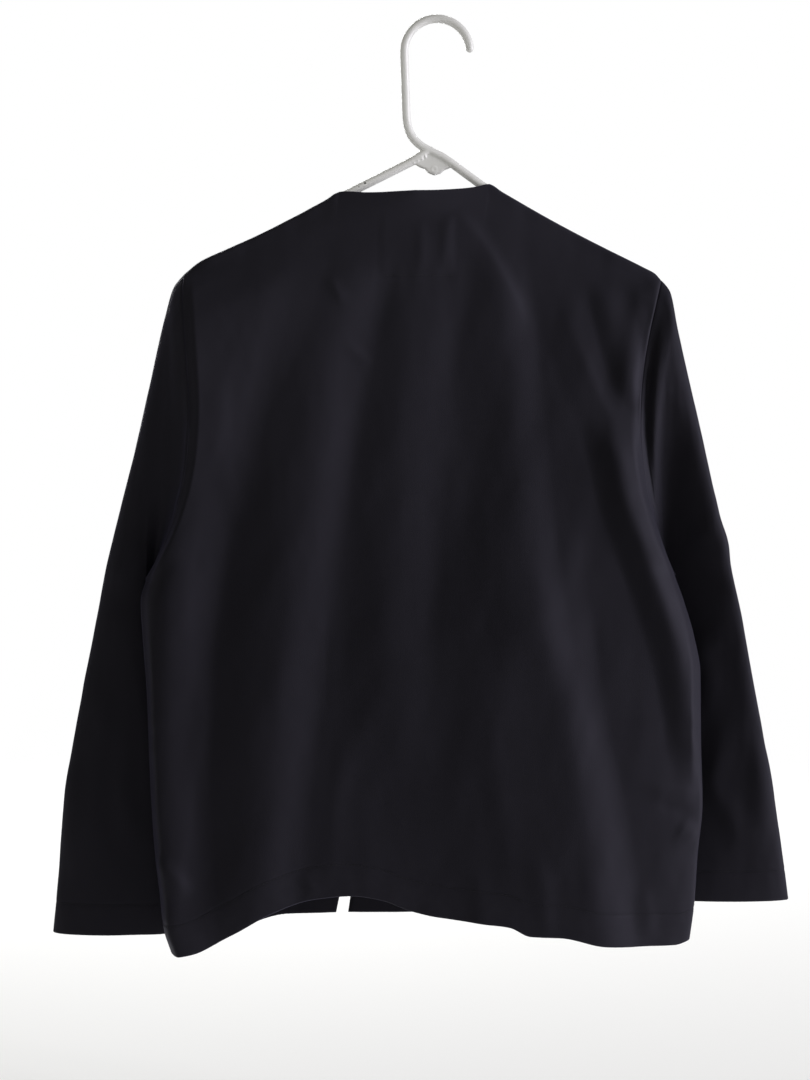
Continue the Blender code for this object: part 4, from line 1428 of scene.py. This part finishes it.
@dataclass
class Back:
    """The back, in one piece."""

    columns: int = 176
    upper: int = 104
    lower: int = 116
    flat: tuple[float, float] = (0.51, 0.66)
    area: float = 0.285
    tack_drop: float = 226.0           # of the short stitched line at the centre back
    tack_left: float = -50.0
    tack_right: float = 15.0
    tack_top: float = 166.0            # where the faint rise above it starts
    tack_row: int = 60                 # a row of points near it

    def shares(self) -> Array:
        """Columns, closer together at the sides and at the neck's corners.

        Returns:
            Their shares of the width.
        """
        even = np.linspace(0.0, 1.0, self.columns)
        share = mix(even, (1.0 - np.cos(even * math.pi)) / 2.0, 0.45)
        width = RIGHT.tip.across - LEFT.tip.across
        for side in (LEFT, RIGHT):
            at = (side.neck.across - LEFT.tip.across) / width
            near = at - side.sign * np.array([0.0, 0.7, 1.6, 3.2, 5.0]) / width
            share = np.array([s for s in share if np.abs(near - s).min() > 0.0022])
            share = np.sort(np.concatenate([share, near]))
        return share

    def tack_marks(self, panel: Panel) -> Array:
        """The stitched line at the centre back, with its gathers and the faint rise above it.

        Args:
            panel: The back's surface.

        Returns:
            How far they raise the cloth.
        """
        across, drop = panel.across, panel.drop
        below = drop - self.tack_drop
        within = (smooth((across - self.tack_left) / 3.0) * smooth((self.tack_right - across) / 3.0)
                  * smooth(-below / 2.5) * smooth((drop - self.tack_top) / 12.0))
        beside = (smooth((across - self.tack_left + 4.0) / 4.0)
                  * smooth((self.tack_right + 4.0 - across) / 4.0))
        line = -0.55 * np.exp(-(below / 1.6) ** 2) * beside
        reach = np.where(below > 0.0, 16.0, 9.0)
        fan = 0.25 * np.maximum(below, 0.0) * np.tanh((across + 17.0) / 20.0)
        rays = noise((across - fan) / 8.5, np.full(drop.shape, 0.5), 71)
        rays = rays * np.exp(-np.abs(below) / reach) * beside * 0.9
        return 0.5 * within + line + rays

    def cloth(self) -> Cloth:
        """The back's cloth, with its folds, creases, seams and hem.

        Returns:
            The cut piece.
        """
        share = self.shares()
        panel = back_grid(share, body_rows(self.upper, self.lower))
        normals = -grid_normals(panel.points, False)
        across, drop = panel.across, panel.drop
        from_hem = through(column(BACK_HEM, 0), column(BACK_HEM, 1), share)[None, :] - drop
        raised = creased(panel, BACK_CREASES, 3)
        raised = raised + self.tack_marks(panel) * smooth(panel.from_top / TOP_CALM)
        raised = raised + stitch_groove(from_hem, across, 21) + seam_relief(panel, 31)
        outer = panel.points + normals * raised[..., None]
        thickness = turned_thickness(
            from_hem, (SEAM_ALLOWANCE, panel.from_side), (SEAM_ALLOWANCE, panel.from_shoulder),
            (NECK_FACING, panel.from_neck))
        wear = wear_at(from_hem, panel.from_neck, (from_hem - HEM_TURN) + 1.5)
        wear = np.where(np.abs(from_hem - HEM_TURN) < 6.0, wear * 0.6, wear)
        return Cloth("back_cloth", outer, -grid_normals(outer, False), thickness,
                     np.stack([across, drop], axis=-1) * MM, wear)

    def tack_seam(self, cloth: Cloth) -> tuple[Array, Array]:
        """The stitched line at the centre back.

        Args:
            cloth: The back's cloth.

        Returns:
            The line's points and the cloth's directions there.
        """
        columns = [c for c, across in enumerate(cloth.outer[self.tack_row, :, 0])
                   if self.tack_left < across < self.tack_right]
        return line_across((cloth.outer, cloth.normals), -cloth.outer[..., 2], self.tack_drop,
                           columns)

    def build(self, dressing: Dressing) -> None:
        """Make and dress the back."""
        cloth = self.cloth()
        dressing.sew(cloth, "back", [cloth.line(HEM_TURN), self.tack_seam(cloth)])


@dataclass
class Front:
    """One of the two fronts, open edge to edge."""

    side: Side
    seed: int
    shoulder: int = 66                 # columns along the shoulder
    neck: int = 23                     # and round the neckline
    neck_start: float = 0.36           # turn of the neckline where its columns start
    upper: int = 104
    lower: int = 116
    flat: tuple[float, float] = (0.29, 0.66)
    area: float = 0.142

    def shares(self) -> Array:
        """Columns: along the shoulder, then by turns round the neckline.

        Returns:
            Their shares of the width.
        """
        tip = self.side.tip.across
        corner = (self.side.neck.across - tip) / (CENTRE_FRONT - tip)
        turn = np.linspace(0.0, math.pi / 2.0, self.shoulder)
        shoulder = corner * mix(1.0 - np.cos(turn), turn / (math.pi / 2.0), 0.4)
        neck = mix(1.0, corner, np.cos(np.linspace(self.neck_start, math.pi / 2.0, self.neck)))
        return np.concatenate([shoulder, neck])

    def cloth(self) -> Cloth:
        """The front's cloth, with its folds, creases, seams, hem and facing.

        Returns:
            The cut piece.
        """
        panel = front_grid(self.side, self.shares(), body_rows(self.upper, self.lower))
        sign = -self.side.sign
        normals = sign * grid_normals(panel.points, False)
        across, drop = panel.across, panel.drop
        from_hem = drop[-1:] - drop
        from_front = np.abs(across - across[:, -1:])
        raised = creased(panel, FRONT_CREASES, self.seed) * smooth(from_front / TOP_CALM)
        raised = raised + stitch_groove(from_hem, across, self.seed + 5)
        facing = np.exp(-((from_front - FRONT_FACING) / 2.5) ** 2) * smooth(panel.from_top / 20.0)
        raised = raised - 0.3 * facing + seam_relief(panel, self.seed + 6)
        outer = panel.points + normals * raised[..., None]
        thickness = turned_thickness(
            from_hem, (SEAM_ALLOWANCE, panel.from_side), (SEAM_ALLOWANCE, panel.from_shoulder),
            (FRONT_FACING, from_front), (FRONT_FACING, panel.from_neck))
        return Cloth(f"front_{self.side.name}_cloth", outer, sign * grid_normals(outer, False),
                     thickness, np.stack([across, drop], axis=-1) * MM,
                     wear_at(from_hem, panel.from_neck, from_front))

    def build(self, dressing: Dressing) -> None:
        """Make and dress the front."""
        cloth = self.cloth()
        dressing.sew(cloth, f"front_{self.side.name}", [cloth.line(HEM_TURN)])


@dataclass
class Sleeve:
    """A long set-in sleeve, sewn to itself under the arm."""

    side: Side
    creases: tuple[Crease, ...]
    seed: int
    turns: int = 110
    lines: int = 190
    girth: float = 300.0               # its mean width all round
    flat: tuple[float, float] = (0.36, 0.62)
    area: float = 0.105

    def alongs(self) -> Array:
        """Lines down the sleeve, closer together at the armhole and at the cuff's hem."""
        even = np.linspace(0.0, 1.0, self.lines)
        lines = mix(even, 1.0 - np.cos(even * math.pi / 2.0), 0.25)
        return with_hem_rows(lines, 480.0, 0.0015)

    def cloth(self) -> Cloth:
        """The sleeve's cloth, with its creases, seams and hem.

        Returns:
            The cut piece.
        """
        turn = np.arange(self.turns) / self.turns
        points = sleeve_grid(self.side, turn, self.alongs())
        normals = self.side.sign * grid_normals(points, True)
        across, drop = points[..., 0], -points[..., 2]
        ring = np.broadcast_to(turn[None, :], across.shape)
        from_cap = way_down(points)
        from_hem = from_cap[-1:] - from_cap
        under = np.abs(ring - 0.5) * self.girth
        raised = np.zeros(across.shape)
        for crease in self.creases:
            facing = smooth(crease.face.value * normals[..., 1] * 2.2)
            raised = raised + crease.at(across, drop) * facing
        around = np.minimum(ring, 1.0 - ring) * self.girth * np.where(ring < 0.5, 1.0, -1.0)
        raised = raised + unevenness(around + 300.0, from_cap, self.seed) * 1.1
        raised = raised * smooth(from_cap / 14.0)
        raised = raised - 0.35 * np.exp(-(under / 1.6) ** 2) * smooth(from_cap / 8.0)
        raised = raised + stitch_groove(from_hem, ring * self.girth, self.seed + 3)
        puckers = pucker(from_cap, np.cos(ring * 2.0 * math.pi) * 150.0 + 400.0, 13.0, 12.0,
                         self.seed + 4)
        raised = raised + (puckers * 0.9 + seam_roll(from_cap)) * smooth(from_cap / 1.5)
        outer = points + normals * raised[..., None]
        thickness = turned_thickness(from_hem, (SEAM_ALLOWANCE, from_cap), (SEAM_ALLOWANCE, under))
        return Cloth(f"sleeve_{self.side.name}_cloth", outer,
                     self.side.sign * grid_normals(outer, True), thickness,
                     np.stack([under, from_cap], axis=-1) * MM, wear_at(from_hem), True)

    def build(self, dressing: Dressing) -> None:
        """Make and dress the sleeve."""
        cloth = self.cloth()
        seam = tuple(np.vstack([part, part[:2]]) for part in cloth.line(HEM_TURN))
        dressing.sew(cloth, f"sleeve_{self.side.name}", [seam])


def upright(places: Sequence[tuple[float, float]]) -> Array:
    """Points in the hanger's own plane, from places of across and height."""
    return np.array([(across, 0.0, height) for across, height in places])


@dataclass
class Hanger:
    """The moulded hanger: hook, stem, arms, bar and the web at their joint, in one piece."""

    radius: float = 3.75
    hook_radius: float = 28.9
    hook_points: int = 19
    stem: Pairs = (
        (-28.4, -40.0), (-27.6, -63.0), (-27.0, -82.0), (-25.6, -91.5), (-22.9, -98.6),
        (-18.4, -104.4), (-12.4, -109.2), (-4.5, -113.4), (4.0, -117.6), (12.0, -122.9),
        (22.0, -130.3), (32.0, -137.6))
    joint: Pairs = ((-48.0, -135.0), (-13.0, -117.4))
    gusset: Pairs = ((-26.0, -124.0), (-17.0, -118.6), (-9.0, -113.4), (-4.0, -112.6))
    arm_end_left: float = -194.0
    arm_end_right: float = 171.0
    end_radius: float = 11.0
    web: float = 4.0                   # thickness of the web
    web_outline: Pairs = (
        (-21.5, -123.0), (-13.5, -119.0), (-4.6, -114.0), (3.4, -118.0), (12.5, -124.4),
        (10.4, -128.2), (6.2, -129.6), (3.4, -132.4), (-2.4, -134.2), (-8.0, -132.0),
        (-10.6, -128.6), (-15.5, -127.0))
    ribs: int = 4
    lug_radius: float = 2.2
    voxel: float = 0.68                # size of the mesh that fuses the parts
    sides: int = 22

    def arm(self, side: Side, end: float) -> list[tuple[float, float]]:
        """An arm's centre line, just under the shoulder seam.

        Args:
            side: The side it is on.
            end: Where it ends across.

        Returns:
            Places of across and height from the neck to its end.
        """
        places = [place.across for place in side.shoulder
                  if abs(place.across) < abs(end) - self.end_radius] + [end]
        return [(across, -float(shoulder_drop(side, across)) - ROOF_HEIGHT) for across in places]

    def round_end(self, foot: tuple[float, float], head: tuple[float, float],
                  sign: int) -> list[tuple[float, float]]:
        """The frame's round end, from an arm's foot to the bar.

        Args:
            foot: The arm's last place.
            head: The place before it.
            sign: The side it is on.

        Returns:
            Places of across and height round the end.
        """
        fall = math.atan2(head[1] - foot[1], abs(head[0] - foot[0]))
        centre = (foot[0] - sign * self.end_radius * math.sin(fall),
                  foot[1] - self.end_radius * math.cos(fall))
        points = []
        for i in range(1, 9):
            turn = math.pi / 2.0 - fall - (math.pi - fall) * i / 8
            points.append((centre[0] + sign * self.end_radius * math.cos(turn),
                           centre[1] + self.end_radius * math.sin(turn)))
        return points

    def route(self) -> Array:
        """The tube's centre line from the hook's tip round to the joint.

        Returns:
            Its points.
        """
        crown = self.radius - self.hook_radius
        hook = [(self.hook_radius * math.cos(t), crown + self.hook_radius * math.sin(t))
                for t in np.linspace(0.1, math.pi, self.hook_points)]
        right, left = self.arm(RIGHT, self.arm_end_right), self.arm(LEFT, self.arm_end_left)
        right_end = self.round_end(right[-1], right[-2], 1)
        left_end = self.round_end(left[-1], left[-2], -1)
        return upright([*hook, *self.stem, *right, *right_end, *left_end[::-1], *left[::-1],
                        *self.joint])

    def tube(self, body: bmesh.types.BMesh, line: Array, girth: Array | float,
             flat: float = 1.0) -> None:
        """Sweep a closed tube along a line in the hanger's plane.

        Args:
            body: The mesh to add it to.
            line: The centre line.
            girth: The radius, or the radius at each of its points.
            flat: The share of that radius that it has in depth.
        """
        along = unit(np.gradient(line, axis=0))
        aside = np.stack([along[:, 2], np.zeros(len(line)), -along[:, 0]], axis=-1)
        rings = rings_along(line, np.broadcast_to(girth, len(line)), aside,
                            np.broadcast_to((0.0, flat, 0.0), line.shape), self.sides)
        made = [[body.verts.new(point * MM) for point in ring] for ring in rings]
        for first, second in zip(made[:-1], made[1:]):
            for i in range(self.sides):
                j = (i + 1) % self.sides
                body.faces.new((first[i], first[j], second[j], second[i]))
        body.faces.new(made[0][::-1])
        body.faces.new(made[-1])

    def bent_tube(self, body: bmesh.types.BMesh) -> None:
        """Add the long tube, with the round tip of its hook."""
        route, bend = self.route(), self.hook_points
        line = np.vstack([route[:1], smooth_line(route[:bend], 3)[1:], route[bend:]])
        line = smooth_line(line, 2)
        bulge = np.array([1.0, 0.92, 0.72, 0.4])
        tip = line[0] + unit(line[0] - line[1]) * self.radius * bulge[:, None]
        girth = np.full(len(tip) + len(line), self.radius)
        girth[:len(tip)] *= np.sqrt(1.0 - np.minimum(bulge, 0.98) ** 2)
        self.tube(body, np.vstack([tip, line]), girth)

    def braces(self, body: bmesh.types.BMesh) -> None:
        """Add the gusset beside the stem and the fine ribs on the web."""
        self.tube(body, smooth_line(upright(self.gusset), 4), self.radius)
        for i in range(self.ribs):
            across = -22.0 + 3.4 * i
            rib = upright([(across + 2.0, -124.6 + 1.8 * i), (across, -118.2 + 1.7 * i)])
            self.tube(body, smooth_line(rib, 4), 0.62, 6.0)

    def plate(self, body: bmesh.types.BMesh) -> None:
        """Add the web under the joint."""
        loops = [[body.verts.new((x * MM, side * self.web / 2.0 * MM, z * MM))
                  for x, z in self.web_outline] for side in (-1, 1)]
        for i in range(len(self.web_outline)):
            j = (i + 1) % len(self.web_outline)
            body.faces.new((loops[0][i], loops[0][j], loops[1][j], loops[1][i]))
        body.faces.new(loops[0][::-1])
        body.faces.new(loops[1])

    def lug(self, body: bmesh.types.BMesh) -> None:
        """Add the small ring on the web."""
        turns = np.linspace(0.0, 2.0 * math.pi, 25)
        ring = upright([(-2.6 + self.lug_radius * math.cos(turn),
                         -129.2 + self.lug_radius * math.sin(turn)) for turn in turns])
        self.tube(body, ring, 0.9, 2.75)

    def fuse(self, body: bmesh.types.BMesh) -> bpy.types.Object:
        """Fuse the parts into one smooth moulding.

        Args:
            body: The mesh of the parts, which is given up.

        Returns:
            The moulding.
        """
        bmesh.ops.recalc_face_normals(body, faces=body.faces)
        mesh = bpy.data.meshes.new("hanger_tube")
        body.to_mesh(mesh)
        body.free()
        piece = bpy.data.objects.new("hanger_tube", mesh)
        bpy.context.scene.collection.objects.link(piece)
        remesh = piece.modifiers.new("fuse", "REMESH")
        remesh.mode = "VOXEL"
        remesh.voxel_size = self.voxel * MM
        soften = piece.modifiers.new("soften", "SMOOTH")
        soften.factor = 0.5
        soften.iterations = 9
        fused = bpy.data.meshes.new_from_object(
            piece.evaluated_get(bpy.context.evaluated_depsgraph_get()))
        piece.modifiers.clear()
        piece.data = fused
        piece.data.name = "hanger_tube"
        fused.shade_smooth()
        return piece

    def build(self, dressing: Dressing) -> None:
        """Make and dress the hanger."""
        body = bmesh.new()
        self.bent_tube(body)
        self.braces(body)
        self.plate(body)
        self.lug(body)
        piece = self.fuse(body)
        dressing.put_on(piece, dressing.plastic)
        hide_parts("hanger", "hanger_web")


@dataclass(frozen=True)
class Studio:
    """The floor, the light and the camera."""

    view_across: float = -28.2         # where the camera stands, in millimetres
    view_depth: float = -1600.0
    view_drop: float = 455.0
    lens: float = 60.6
    floor_drop: float = 1010.0
    ambient: Colour = (0.174, 0.172, 0.15)
    seen: Colour = (1.0, 1.0, 1.0)     # the surroundings as they show behind the jacket

    def floor(self) -> None:
        """Lay the floor."""
        bpy.ops.mesh.primitive_circle_add(vertices=96, radius=60.0, fill_type="NGON",
                                          location=(0.0, 0.0, -self.floor_drop * MM))
        floor = bpy.context.object
        floor.name = "floor"
        floor.data.materials.append(Ground().make())

    def stand(self, data: bpy.types.Light, place: Point, aim: Point) -> None:
        """Stand a lamp, unseen by the camera.

        Args:
            data: Its light.
            place: Where it stands.
            aim: What it is turned to.
        """
        lamp = bpy.data.objects.new(data.name, data)
        lamp.location = place
        lamp.visible_camera = False
        lamp.rotation_euler = (Vector(aim) - Vector(place)).to_track_quat("-Z", "Y").to_euler()
        bpy.context.scene.collection.objects.link(lamp)

    def light(self, name: str, energy: float, size: tuple[float, float], place: Point,
              aim: Point, colour: Colour = (1.0, 1.0, 1.0)) -> None:
        """Set up a soft light.

        Args:
            name: Its name.
            energy: Its power in watts.
            size: Its width and height in metres.
            place: Where it stands.
            aim: What it is turned to.
            colour: Its colour.
        """
        data = bpy.data.lights.new(name, "AREA")
        data.shape = "RECTANGLE"
        data.size, data.size_y = size
        data.energy = energy
        data.color = colour
        self.stand(data, place, aim)

    def snoot(self, name: str, energy: float, place: Point, aim: Point, width: float) -> None:
        """Set up a narrow, soft-edged light.

        Args:
            name: Its name.
            energy: Its power in watts.
            place: Where it stands.
            aim: What it is turned to.
            width: The angle of its cone in degrees.
        """
        data = bpy.data.lights.new(name, "SPOT")
        data.energy = energy
        data.spot_size = math.radians(width)
        data.spot_blend = 1.0
        data.shadow_soft_size = 0.15
        self.stand(data, place, aim)

    def surroundings(self) -> None:
        """Set the even light from all round."""
        world = bpy.data.worlds.new("studio")
        world.use_nodes = True
        tree = world.node_tree
        back = tree.nodes["Background"]
        path = tree.nodes.new("ShaderNodeLightPath")
        colour = tree.nodes.new("ShaderNodeMix")
        colour.data_type = "RGBA"
        colour.inputs[6].default_value = (*self.ambient, 1.0)
        colour.inputs[7].default_value = (*self.seen, 1.0)
        tree.links.new(path.outputs["Is Camera Ray"], colour.inputs[0])
        tree.links.new(colour.outputs[2], back.inputs["Color"])
        bpy.context.scene.world = world

    def camera(self) -> None:
        """Set up the camera at the photograph's viewing angle."""
        data = bpy.data.cameras.new("view")
        data.lens = self.lens
        data.sensor_width = 36.0
        data.clip_end = 200.0
        camera = bpy.data.objects.new("view", data)
        camera.location = (self.view_across * MM, self.view_depth * MM, -self.view_drop * MM)
        camera.rotation_euler = (math.pi / 2.0, 0.0, 0.0)
        bpy.context.scene.collection.objects.link(camera)
        bpy.context.scene.camera = camera

    def build(self) -> None:
        """Set up the studio."""
        self.floor()
        self.surroundings()
        self.light("window", 370.0, (2.4, 4.0), (5.42, -1.35, 0.2), (0.0, 0.0, -0.5),
                   (0.985, 0.975, 1.045))
        self.light("far_window", 260.0, (3.0, 3.0), (-0.9, 4.4, 1.5), (0.0, 0.3, -0.7))
        self.snoot("hook_lamp", 135.0, (-1.7, -2.1, 0.3), (-0.025, 0.0, -0.05), 6.2)
        self.snoot("yoke_lamp", 75.0, (0.3, -2.6, 0.5), (-0.14, 0.0, -0.25), 9.0)
        self.camera()
        scene = bpy.context.scene
        scene.view_settings.view_transform = "Standard"
        scene.view_settings.look = "None"


def main() -> None:
    """Build the jacket, its hanger and the studio."""
    logging.basicConfig(level=logging.INFO, format="%(name)s: %(message)s")
    dressing = Dressing(NavyCloth().make(), Thread().make(), WhitePlastic().make())
    Hanger().build(dressing)
    Back().build(dressing)
    Front(LEFT, 40).build(dressing)
    Front(RIGHT, 60).build(dressing)
    Sleeve(LEFT, LEFT_SLEEVE_CREASES, 80).build(dressing)
    Sleeve(RIGHT, RIGHT_SLEEVE_CREASES, 100).build(dressing)
    Studio().build()


if __name__ == "__main__":
    main()
